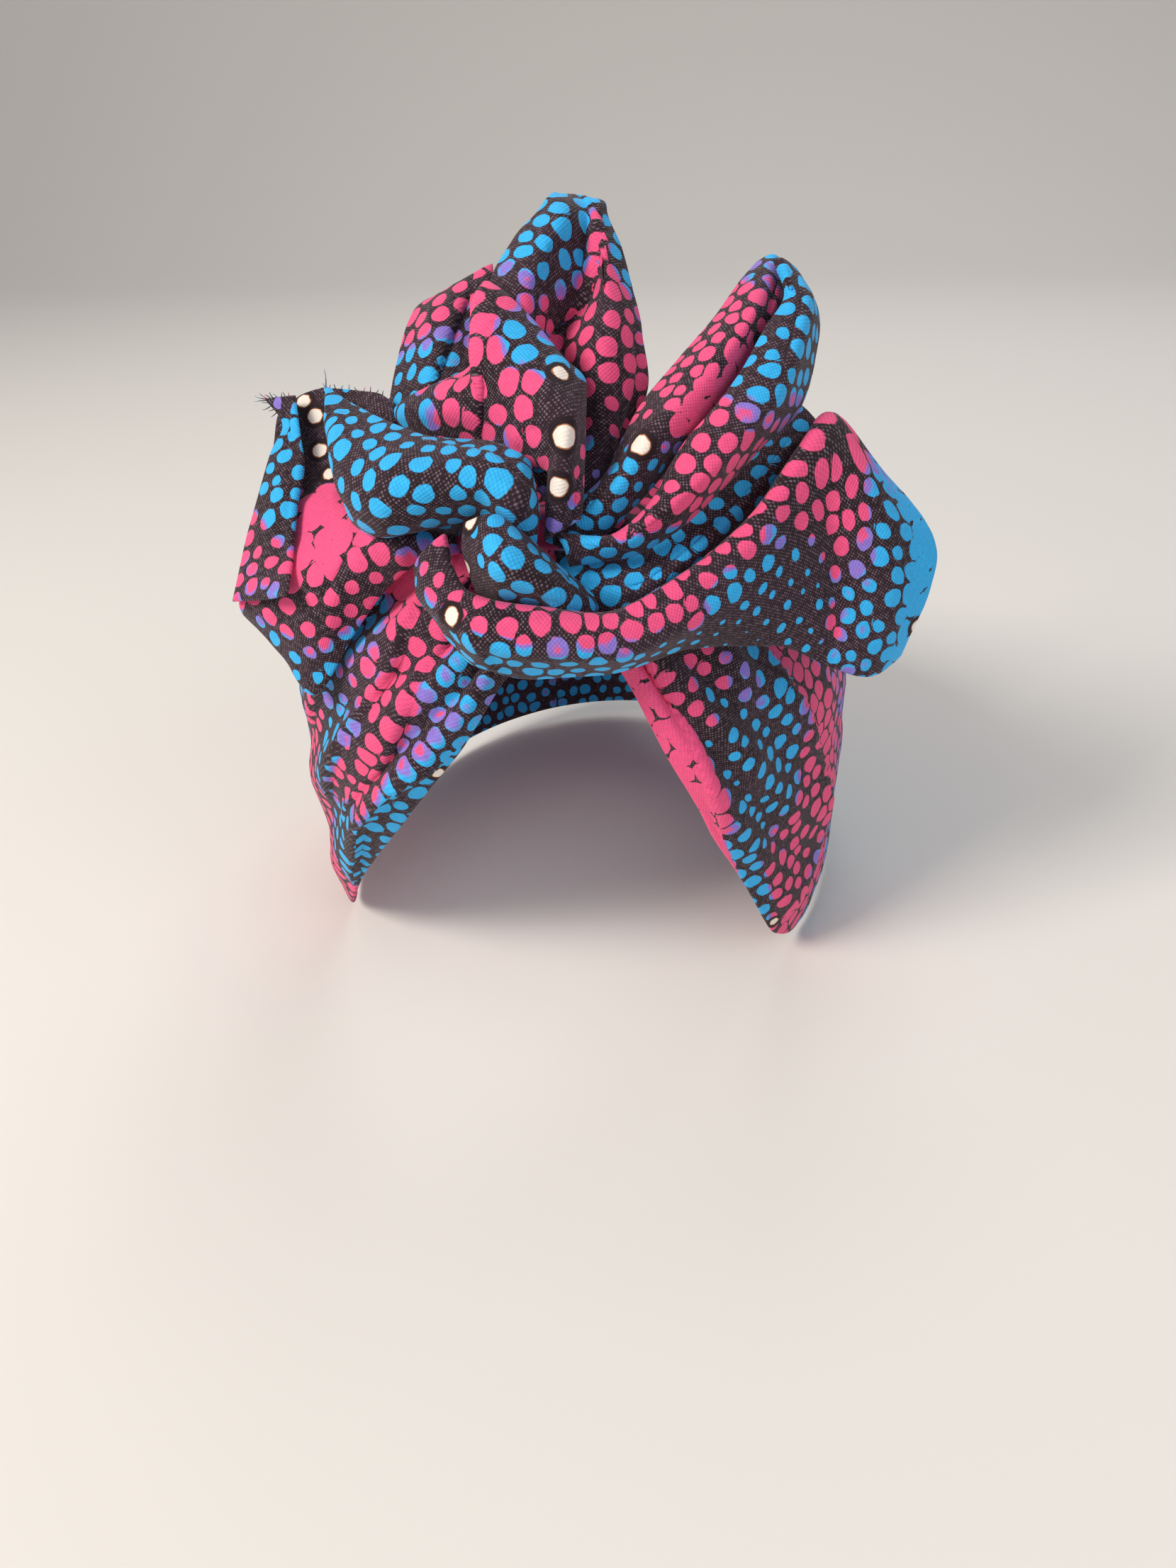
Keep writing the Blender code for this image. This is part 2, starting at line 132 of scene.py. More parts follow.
# Strips of the bow. A row is a section across the strip, from its root at the knot to its
# free end. A station is (right, up, out) in the bow's frame, in mm.
LEFT_LOOP: list[Row] = [
    # hem             ridge           hollow          top
    ((-19, 5, 6), (-20, 8, 9), (-19, 9, 7), (-18, 12, 3)),
    ((-29, 3, 2), (-29, 8, 6), (-28, 13, 0), (-27, 18, -8)),
    ((-37, -2, -3), (-37, 9, 3), (-37, 19, -14), (-36, 34, -26)),
    ((-46, -12, -8), (-44, 7, 0), (-45, 22, -22), (-44, 42, -33)),
    ((-59, -27, -16), (-52, 0, -3), (-51, 23, -25), (-51, 48, -35)),
    ((-66, -17, -19), (-62, -2, -10), (-59, 21, -26), (-57, 47, -36)),
    ((-75, -6, -23), (-75, -3, -20), (-68, 22, -30), (-64, 42, -37)),
]
LEFT_CUFF: list[Row] = [
    # rim             crown           fold
    ((-76, -3, -18), (-68, -3, -11), (-60, -2, -5)),
    ((-72, 12, -23), (-65, 9, -16), (-59, 7, -13)),
    ((-68, 24, -26), (-62, 21, -20), (-58, 18, -18)),
    ((-65, 33, -29), (-60, 31, -24), (-56, 29, -22)),
    ((-62, 39, -31), (-59, 39, -28), (-57, 38, -26)),
    ((-66, 46, -33), (-61, 46, -32), (-58, 46, -31)),
]
BACK_PETAL: list[Row] = [
    # left            crown           right
    ((-5, 10, 3), (-2, 11, 4), (0, 11, 3)),
    ((-19, 30, -8), (-12, 31, -4), (-6, 33, -6)),
    ((-34, 40, -18), (-21, 44, -8), (-9, 48, -12)),
    ((-31, 53, -23), (-20, 54, -13), (-8, 57, -16)),
    ((-26, 64, -27), (-17, 63, -18), (-7, 65, -18)),
    ((-20, 67, -29), (-14, 69, -24), (-7, 72, -22)),
]
TOP_PETAL: list[Row] = [
    # left           left crown       valley          right crown     right
    ((0, 16, 4), (3, 16, 5), (6, 16, 3), (9, 15, 5), (12, 14, 4)),
    ((-6, 32, -2), (0, 33, 1), (7, 32, -6), (15, 31, 2), (21, 28, -1)),
    ((-8, 48, -5), (-1, 48, 0), (6, 50, -9), (16, 46, 3), (27, 42, -4)),
    ((-8, 62, -7), (0, 60, 0), (12, 62, -10), (18, 60, 0), (25, 58, -6)),
    ((-2, 73, -8), (5, 70, -2), (14, 71, -10), (18, 70, -3), (23, 71, -8)),
    ((4, 79, -10), (9, 77, -5), (15, 77, -9), (18, 76, -6), (21, 78, -10)),
    ((8, 84, -12), (10, 83, -10), (14, 83, -11), (17, 82, -10), (20, 82, -12)),
]
INNER_FOLD: list[Row] = [
    # upper           crown           lower
    ((2, 4, 5), (3, -3, 10), (4, -10, 11)),
    ((18, 3, 6), (18, -5, 11), (18, -12, 9)),
    ((29, 8, 6), (31, 1, 10), (34, -5, 5)),
    ((38, 14, 3), (41, 8, 7), (46, 3, 0)),
    ((47, 21, -1), (50, 15, 3), (55, 11, -5)),
    ((55, 28, -6), (58, 23, -2), (64, 19, -9)),
    ((63, 34, -9), (66, 30, -7), (69, 27, -11)),
]
RIGHT_PETAL_FRONT: list[Row] = [
    # left            crown           crease
    ((0, 6, 6), (2, 5, 8), (4, 4, 7)),
    ((5, 12, 7), (8, 10, 11), (12, 6, 8)),
    ((14, 19, 8), (16, 16, 14), (20, 12, 9)),
    ((23, 33, 6), (27, 29, 15), (33, 24, 9)),
    ((32, 43, 3), (37, 38, 12), (46, 33, 3)),
    ((42, 53, -1), (46, 48, 8), (55, 46, -3)),
    ((49, 61, -5), (53, 58, 1), (60, 55, -6)),
    ((54, 66, -9), (57, 67, -7), (61, 65, -10)),
]
RIGHT_PETAL_REAR: list[Row] = [
    # crease          crown           right
    ((2, 8, 10), (4, 4, 12), (5, 0, 10)),
    ((13, 6, 11), (15, 4, 15), (17, 1, 11)),
    ((22, 11, 12), (24, 9, 17), (29, 6, 11)),
    ((32, 25, 11), (36, 18, 18), (41, 16, 9)),
    ((38, 31, 10), (44, 25, 16), (50, 24, 5)),
    ((46, 40, 8), (51, 33, 13), (60, 32, 1)),
    ((52, 49, 5), (57, 44, 9), (65, 43, -3)),
    ((57, 57, 0), (61, 55, 3), (67, 53, -6)),
    ((56, 65, -5), (60, 63, -4), (65, 59, -9)),
]
CROOK_FOLD: list[Row] = [
    # inner           crown           outer
    ((-34, 33, -18), (-33, 37, -13), (-32, 39, -16)),
    ((-25, 28, -9), (-24, 36, -2), (-23, 42, -9)),
    ((-14, 26, -2), (-13, 36, 6), (-13, 46, -2)),
    ((-11, 24, 1), (-10, 44, 7), (-9, 63, 1)),
    ((-6, 23, 4), (-3, 40, 11), (0, 54, 5)),
    ((-1, 22, 7), (3, 34, 15), (6, 45, 8)),
    ((2, 20, 9), (6, 29, 17), (11, 39, 9)),
    ((1, 14, 9), (5, 20, 15), (10, 25, 8)),
    ((0, 6, 7), (4, 8, 9), (8, 10, 7)),
]
UPPER_LEFT_FOLD: list[Row] = [
    # upper           crown           lower
    ((-2, 23, 10), (-1, 13, 13), (-2, 5, 10)),
    ((-5, 25, 11), (-6, 15, 19), (-7, 7, 13)),
    ((-11, 28, 8), (-13, 19, 18), (-15, 12, 11)),
    ((-23, 30, 3), (-24, 19, 14), (-25, 11, 7)),
    ((-32, 34, -5), (-34, 20, 6), (-35, 10, -1)),
    ((-40, 39, -13), (-44, 26, -4), (-43, 15, -8)),
    ((-48, 45, -19), (-47, 33, -12), (-43, 22, -13)),
]
KNOT_ROLL: list[Row] = [
    # lower           crown           upper
    ((-17, 1, 13), (-18, 6, 15), (-17, 11, 14)),
    ((-15, -5, 17), (-13, 4, 24), (-11, 12, 17)),
    ((-11, -7, 18), (-9, 1, 28), (-5, 8, 18)),
    ((-1, -9, 17), (-1, -3, 26), (0, 3, 17)),
    ((5, -13, 14), (6, -8, 19), (6, -3, 14)),
    ((10, -15, 12), (10, -11, 13), (10, -7, 12)),
]
FRONT_SASH: list[Row] = [
    # lower           crown           upper
    ((-29, 3, 8), (-26, 6, 12), (-22, 9, 12)),
    ((-29, -3, 8), (-26, -1, 14), (-21, 2, 15)),
    ((-25, -9, 9), (-22, -8, 16), (-18, -4, 18)),
    ((-17, -20, 12), (-14, -14, 22), (-11, -7, 20)),
    ((-4, -24, 12), (-2, -16, 22), (-1, -9, 20)),
    ((11, -24, 11), (11, -17, 21), (11, -11, 19)),
    ((33, -20, 8), (31, -11, 18), (31, -3, 17)),
    ((52, -21, 4), (48, -4, 13), (46, 8, 17)),
    ((65, -27, 1), (64, -1, 5), (58, 22, 14)),
    ((76, -31, -2), (78, -2, 3), (67, 30, 7)),
    ((86, -27, -8), (94, -3, -6), (81, 17, -3)),
]

# The raw flap that stands up behind the upper left fold
RAW_FLAP: list[Row] = [
    # lower           crown           upper
    ((-49, 43, -23), (-50, 45, -22), (-50, 46, -21)),
    ((-44, 39, -21), (-45, 42, -19), (-45, 45, -18)),
    ((-40, 36, -19), (-40, 40, -16), (-40, 44, -17)),
    ((-36, 33, -16), (-36, 38, -12), (-36, 43, -15)),
    ((-33, 31, -13), (-32, 35, -9), (-32, 40, -12)),
]

# A strip that folds over returns behind itself: where it is along its folded way, how far
# along the front it has come, and how far behind the front it lies
FOLD_WAY: list[tuple[float, float, float]] = [
    # way   along  behind
    (0.00, 0.00, 0.00),
    (0.40, 0.80, 0.02),
    (0.46, 0.96, 0.12),
    (0.50, 1.00, 0.50),
    (0.54, 0.96, 0.88),
    (0.60, 0.80, 0.98),
    (1.00, 0.12, 1.00),
]

# The print, for each node. A row is a patch of it: its place in shares along and across the
# sheet, its dye from 0, blue, to 1, pink, its fill, and its reach in mm. Fill is below 0 for
# bare ground, 0 for small dots far apart, 0.5 for packed dots and 1 for solid colour.
PRINT: dict[str, list[tuple[float, ...]]] = {
    "head_band": [
        (0.455, 0.90, 1.0, 1.00, 10), (0.464, 0.76, 1.0, 0.82, 7), (0.475, 0.55, 0.8, 0.50, 7),
        (0.480, 0.38, 0.3, 0.35, 6), (0.495, 0.30, 0.3, 0.35, 8), (0.460, 0.42, 1.0, 0.50, 9),
        (0.470, 0.22, 0.5, 0.45, 6), (0.465, 0.08, 0.2, 0.45, 5), (0.445, 0.42, 0.4, 0.45, 5),
        (0.447, 0.22, 0.9, 0.50, 6), (0.440, 0.60, 0.6, 0.42, 7), (0.430, 0.30, 1.0, 0.42, 7),
        (0.430, 0.70, 0.0, 0.35, 8), (0.420, 0.42, 0.0, 0.30, 8), (0.420, 0.18, 0.0, 0.30, 7),
        (0.450, 0.03, 0.0, 0.42, 6), (0.430, 0.03, 0.0, 0.40, 6), (0.410, 0.03, 0.1, 0.40, 6),
        (0.385, 0.05, 1.0, 0.60, 7), (0.390, 0.45, 1.0, 0.46, 10), (0.380, 0.75, 0.2, 0.40, 10),
        (0.550, 0.30, 1.0, 1.00, 7), (0.562, 0.12, 1.0, 1.00, 8), (0.574, 0.08, 1.0, 0.95, 6),
        (0.586, 0.04, 1.0, 0.75, 5), (0.594, 0.03, 0.5, 0.65, 4), (0.605, 0.04, 0.0, 0.50, 5),
        (0.620, 0.04, 0.0, 0.50, 6), (0.580, 0.60, 1.0, 0.48, 8), (0.592, 0.82, 1.0, 0.50, 8),
        (0.578, 0.34, 0.9, 0.30, 6), (0.590, 0.30, 0.1, 0.05, 7), (0.600, 0.42, 0.0, 0.20, 7),
        (0.600, 0.62, 0.5, 0.30, 6), (0.615, 0.75, 0.0, 0.42, 8), (0.620, 0.42, 0.0, 0.30, 8),
        (0.612, 0.20, 0.1, 0.22, 6), (0.628, 0.15, 1.0, 0.42, 6), (0.632, 0.26, 0.6, 0.40, 5),
        (0.640, 0.10, 0.7, 0.42, 6), (0.650, 0.32, 0.9, 0.45, 7), (0.650, 0.04, 0.7, 0.42, 6),
        (0.675, 0.45, 1.0, 0.46, 9), (0.655, 0.35, 0.7, 0.42, 5), (0.665, 0.65, 0.6, 0.45, 7),
        (0.670, 0.88, 1.0, 0.55, 9), (0.700, 0.15, 0.3, 0.40, 12), (0.740, 0.60, 0.6, 0.50, 18),
        (0.820, 0.35, 0.1, 0.38, 26), (0.900, 0.70, 1.0, 0.46, 24), (0.970, 0.20, 0.1, 0.35, 26),
        (0.060, 0.60, 1.0, 0.48, 26), (0.130, 0.25, 0.0, 0.35, 24), (0.200, 0.70, 0.5, 0.45, 22),
        (0.270, 0.30, 1.0, 0.46, 22), (0.330, 0.60, 0.1, 0.38, 18),
    ],
    "left_loop": [
        (0.10, 0.50, 0.2, 0.30, 5), (0.27, 0.35, 0.5, 0.45, 5), (0.30, 0.90, 0.2, 0.20, 6),
        (0.42, 0.42, 0.9, 0.46, 6), (0.52, 0.42, 1.0, 1.00, 7), (0.62, 0.48, 1.0, 1.00, 8),
        (0.75, 0.48, 1.0, 1.00, 8), (0.90, 0.48, 1.0, 1.00, 8), (0.55, 0.20, 1.0, 0.38, 7),
        (0.68, 0.24, 1.0, 0.38, 7), (0.82, 0.26, 1.0, 0.38, 6), (0.72, 0.12, 0.5, 0.34, 5),
        (0.66, 0.03, 0.0, 0.28, 6), (0.80, 0.05, 0.1, 0.26, 6), (0.93, 0.12, 0.4, 0.34, 5),
        (0.50, 0.85, 0.2, -0.40, 8), (0.72, 0.85, 0.1, -0.60, 8), (0.88, 0.85, 0.1, -0.60, 8),
    ],
    "left_cuff": [
        (0.03, 0.50, 0.4, 0.36, 5), (0.12, 0.30, 0.7, 0.40, 5), (0.18, 0.75, 1.0, 0.44, 6),
        (0.28, 0.20, 1.0, 0.42, 5), (0.27, 0.90, 0.5, 0.40, 4), (0.42, 0.50, 0.0, 0.38, 6),
        (0.55, 0.40, 0.0, 0.38, 6), (0.70, 0.50, 0.0, 0.50, 5), (0.82, 0.50, 0.0, 0.62, 5),
        (0.95, 0.50, 0.5, 0.10, 4),
    ],
    "back_petal": [
        (0.30, 0.50, 0.2, 0.35, 10), (0.58, 0.30, 0.0, 0.38, 6), (0.66, 0.20, 0.0, 0.35, 6),
        (0.70, 0.42, 0.1, 0.40, 5), (0.77, 0.42, 0.5, 0.45, 5), (0.82, 0.20, 0.8, 0.46, 5),
        (0.90, 0.30, 1.0, 0.46, 7), (0.97, 0.60, 1.0, 0.48, 6), (0.66, 0.75, 0.5, 0.48, 5),
        (0.76, 0.85, 0.5, 0.50, 6), (0.86, 0.90, 0.3, 0.35, 4),
    ],
    "top_petal": [
        (0.02, 0.50, 0.3, 0.10, 6), (0.08, 0.80, 0.4, 0.10, 6), (0.15, 0.80, 1.0, 0.26, 7),
        (0.24, 0.72, 1.0, 0.40, 7), (0.22, 0.97, 1.0, 0.55, 3), (0.32, 0.62, 1.0, 0.44, 6),
        (0.33, 0.80, 1.0, 0.48, 6), (0.41, 0.72, 1.0, 0.50, 4), (0.37, 0.95, 0.0, 0.45, 4),
        (0.30, 0.97, 0.6, 0.45, 4), (0.46, 0.88, 0.0, 0.40, 5), (0.42, 0.35, 0.0, 0.42, 7),
        (0.43, 0.10, 0.0, 0.42, 7), (0.36, 0.40, 0.35, 0.38, 5), (0.35, 0.08, 0.35, 0.45, 4),
        (0.30, 0.20, 0.6, 0.50, 6), (0.28, 0.42, 0.65, 0.30, 5), (0.20, 0.20, 0.7, 0.45, 8),
        (0.49, 0.30, 0.0, 0.38, 5), (0.75, 0.30, 0.1, 0.40, 14), (0.75, 0.80, 1.0, 0.50, 14),
    ],
    "inner_fold": [
        (0.05, 0.50, 0.0, 0.42, 6), (0.20, 0.50, 0.0, 0.42, 7), (0.40, 0.50, 0.1, 0.38, 8),
        (0.65, 0.50, 0.0, 0.30, 9), (0.90, 0.50, 0.2, 0.30, 8),
    ],
    "right_petal_front": [
        (0.05, 0.50, 0.1, 0.40, 6), (0.15, 0.50, 0.0, 0.42, 6), (0.20, 0.10, 0.5, 0.50, 4),
        (0.26, 0.35, 0.0, 0.42, 5), (0.28, 0.85, 0.1, 0.10, 5), (0.34, 0.40, 0.5, -0.50, 5),
        (0.38, 0.88, 0.4, 0.45, 4), (0.42, 0.20, 1.0, 0.38, 5), (0.50, 0.25, 1.0, 0.46, 6),
        (0.48, 0.80, 1.0, 1.00, 6), (0.57, 0.72, 1.0, 1.00, 7), (0.58, 0.15, 1.0, 0.46, 6),
        (0.66, 0.70, 1.0, 0.90, 5), (0.70, 0.25, 1.0, 0.50, 7), (0.80, 0.50, 0.9, 0.48, 7),
        (0.93, 0.40, 0.45, 0.50, 5), (1.00, 0.50, 0.1, 0.40, 4),
    ],
    "right_petal_rear": [
        (0.02, 0.50, 0.0, 0.40, 6), (0.12, 0.60, 0.0, 0.40, 5), (0.17, 0.15, 0.7, 0.45, 4),
        (0.25, 0.50, 0.75, 0.50, 5), (0.20, 0.90, 0.0, 0.40, 4), (0.33, 0.40, 1.0, 0.52, 7),
        (0.43, 0.50, 1.0, 0.54, 7), (0.50, 0.50, 1.0, 0.50, 6), (0.57, 0.50, 0.5, 0.50, 5),
        (0.63, 0.80, 0.5, 0.45, 5), (0.70, 0.40, 0.0, 0.38, 7), (0.80, 0.60, 0.0, 0.34, 8),
        (0.92, 0.40, 0.0, 0.42, 8),
    ],
    "crook_fold": [
        (0.03, 0.50, 0.2, 0.40, 6), (0.12, 0.50, 0.3, 0.50, 6), (0.18, 0.90, 0.7, 0.60, 4),
        (0.27, 0.50, 0.9, 0.50, 6), (0.38, 0.45, 1.0, 0.52, 7), (0.38, 0.75, 1.0, 0.55, 5),
        (0.47, 0.45, 1.0, 0.55, 7), (0.50, 0.08, 0.5, 0.50, 4), (0.58, 0.40, 1.0, 0.50, 6),
        (0.66, 0.15, 1.0, 0.60, 4), (0.45, 0.88, 0.9, 0.35, 5), (0.52, 0.70, 0.1, 0.40, 5),
        (0.60, 0.80, 0.1, 0.42, 5), (0.57, 0.97, 0.5, 0.42, 4), (0.67, 0.92, 0.0, 0.42, 4),
        (0.70, 0.50, 0.5, -0.60, 6), (0.80, 0.50, 0.5, -0.60, 7), (0.87, 0.85, 1.0, 0.20, 4),
        (0.92, 0.40, 0.4, 0.25, 5), (1.00, 0.50, 0.3, 0.40, 5),
    ],
    "upper_left_fold": [
        (0.15, 0.10, 0.0, 0.42, 9), (0.15, 0.38, 0.0, 0.42, 9), (0.50, 0.10, 0.0, 0.38, 9),
        (0.50, 0.38, 0.0, 0.42, 9), (0.75, 0.10, 0.0, 0.42, 9), (0.75, 0.35, 0.05, 0.36, 8),
        (0.92, 0.15, 0.0, 0.45, 6), (0.96, 0.42, 0.8, 0.55, 4), (0.75, 0.50, 0.7, 0.45, 3),
        (0.50, 0.80, 0.3, 0.35, 12),
    ],
    "raw_flap": [
        (0.10, 0.90, 0.0, 0.45, 3), (0.30, 0.90, 0.1, 0.25, 3), (0.50, 0.50, 0.1, -0.60, 5),
        (0.80, 0.50, 0.1, -0.60, 5), (0.95, 0.20, 0.0, 0.35, 3),
    ],
    "knot_roll": [
        (0.06, 0.35, 0.0, -0.60, 5), (0.14, 0.20, 0.0, -0.50, 4), (0.12, 0.80, 0.0, 0.20, 4),
        (0.30, 0.55, 0.0, 0.36, 8), (0.50, 0.50, 0.0, 0.40, 8), (0.75, 0.50, 0.0, 0.42, 8),
        (0.95, 0.50, 0.0, 0.42, 8),
    ],
    "front_sash": [
        (0.04, 0.30, 0.7, 0.35, 6), (0.09, 0.15, 0.2, 0.10, 5), (0.15, 0.42, 1.0, 0.50, 5),
        (0.25, 0.43, 1.0, 0.50, 6), (0.35, 0.43, 1.0, 0.52, 6), (0.45, 0.40, 1.0, 0.52, 6),
        (0.55, 0.42, 1.0, 0.50, 6), (0.65, 0.43, 1.0, 0.50, 6), (0.75, 0.45, 1.0, 0.50, 6),
        (0.83, 0.42, 1.0, 0.46, 7), (0.20, 0.10, 0.0, 0.42, 7), (0.30, 0.10, 0.0, 0.44, 7),
        (0.40, 0.08, 0.0, 0.40, 7), (0.30, 0.28, 0.45, 0.42, 4), (0.40, 0.26, 0.55, 0.50, 4),
        (0.50, 0.08, 0.0, 0.05, 7), (0.53, 0.25, 0.75, 0.45, 5), (0.60, 0.27, 0.0, 0.42, 6),
        (0.60, 0.06, 0.0, -0.20, 7), (0.68, 0.20, 0.0, 0.12, 8), (0.70, 0.36, 0.35, 0.38, 5),
        (0.75, 0.15, 0.0, -0.05, 7), (0.797, 0.10, 1.0, 0.45, 3), (0.800, 0.25, 1.0, 0.45, 3),
        (0.84, 0.25, 0.6, 0.38, 4), (0.84, 0.08, 0.3, 0.40, 5), (0.89, 0.15, 0.0, 0.40, 7),
        (0.90, 0.30, 0.1, 0.40, 6), (0.97, 0.08, 0.0, 1.00, 6), (0.97, 0.22, 0.0, 1.00, 6),
        (0.97, 0.35, 0.0, 1.00, 6), (0.95, 0.42, 0.5, 0.85, 4), (0.90, 0.47, 1.0, 0.80, 4),
        (0.90, 0.75, 0.0, 0.90, 9), (0.50, 0.75, 0.2, 0.30, 14),
    ],
}

# White dots: shares along and across the sheet, and radius in mm
WHITE_DOTS: dict[str, list[tuple[float, float, float]]] = {
    "head_band": [(0.476, 0.03, 1.6), (0.638, 0.03, 1.4)],
    "left_loop": [(0.82, 0.97, 1.7), (0.76, 0.91, 1.9), (0.74, 0.79, 1.8), (0.69, 0.70, 1.6)],
    "crook_fold": [(0.66, 0.78, 1.6), (0.74, 0.44, 2.0), (0.86, 0.32, 1.8)],
    "knot_roll": [(0.07, 0.92, 1.7), (0.03, 0.15, 1.9)],
    "front_sash": [(0.12, 0.30, 2.0), (0.995, 0.08, 1.4)],
    "right_petal_front": [(0.33, 0.40, 1.9)],
}

# Loose threads of the raw edges: the root's shares along and across the sheet, then how far
# the thread reaches right, up and out, in mm
THREADS: dict[str, list[tuple[float, float, float, float, float]]] = {
    "left_cuff": [
        (1.000, 0.00, -2.4, 0.7, 0.4), (1.000, 0.05, -1.7, 1.3, 0.5), (1.000, 0.12, -1.2, 0.8, 0.2),
        (1.000, 0.20, -0.6, 1.4, 0.4), (1.000, 0.30, -0.9, 0.9, 0.1), (1.000, 0.42, 0.3, 1.0, 0.3),
        (1.000, 0.55, -0.5, 1.2, 0.1), (1.000, 0.70, 0.2, 0.8, 0.4), (0.990, 0.00, -2.9, -0.2, 0.5),
        (0.975, 0.00, -1.6, 0.2, 0.3), (0.960, 0.00, -2.2, -0.9, 0.2), (0.940, 0.00, -1.3, -0.5, 0.4),
        (0.920, 0.00, -1.6, -1.1, 0.1), (0.895, 0.00, -0.9, -0.6, 0.3), (0.860, 0.00, -1.2, -0.9, 0.1),
        (0.800, 0.00, -0.7, -0.6, 0.3), (0.720, 0.00, -0.9, -0.4, 0.2),
    ],
    "upper_left_fold": [
        (1.000, 0.01, 0.3, 4.2, 0.8), (1.000, 0.04, -0.9, 0.8, 0.3), (0.960, 0.00, 0.3, 1.2, -0.2),
        (0.900, 0.00, -0.4, 1.0, 0.2),
    ],
    "raw_flap": [
        (0.06, 1.00, -0.4, 1.1, 0.3), (0.13, 1.00, 0.3, 0.8, 0.2), (0.21, 1.00, -0.2, 1.0, 0.4),
        (0.29, 1.00, 0.5, 0.7, 0.1), (0.38, 1.00, 0.1, 1.1, 0.3), (0.46, 1.00, -0.4, 0.8, 0.2),
        (0.55, 1.00, 0.4, 0.9, 0.4), (0.64, 1.00, 0.2, 1.2, 0.1), (0.73, 1.00, 0.7, 0.7, 0.3),
        (0.82, 1.00, 0.3, 1.0, 0.3), (0.91, 1.00, 0.9, 0.8, 0.2), (1.00, 0.85, 1.3, 0.3, 0.3),
        (1.00, 0.60, 1.1, -0.2, 0.4), (1.00, 0.35, 1.3, -0.4, 0.1), (1.00, 0.15, 0.9, -0.7, 0.2),
    ],
}

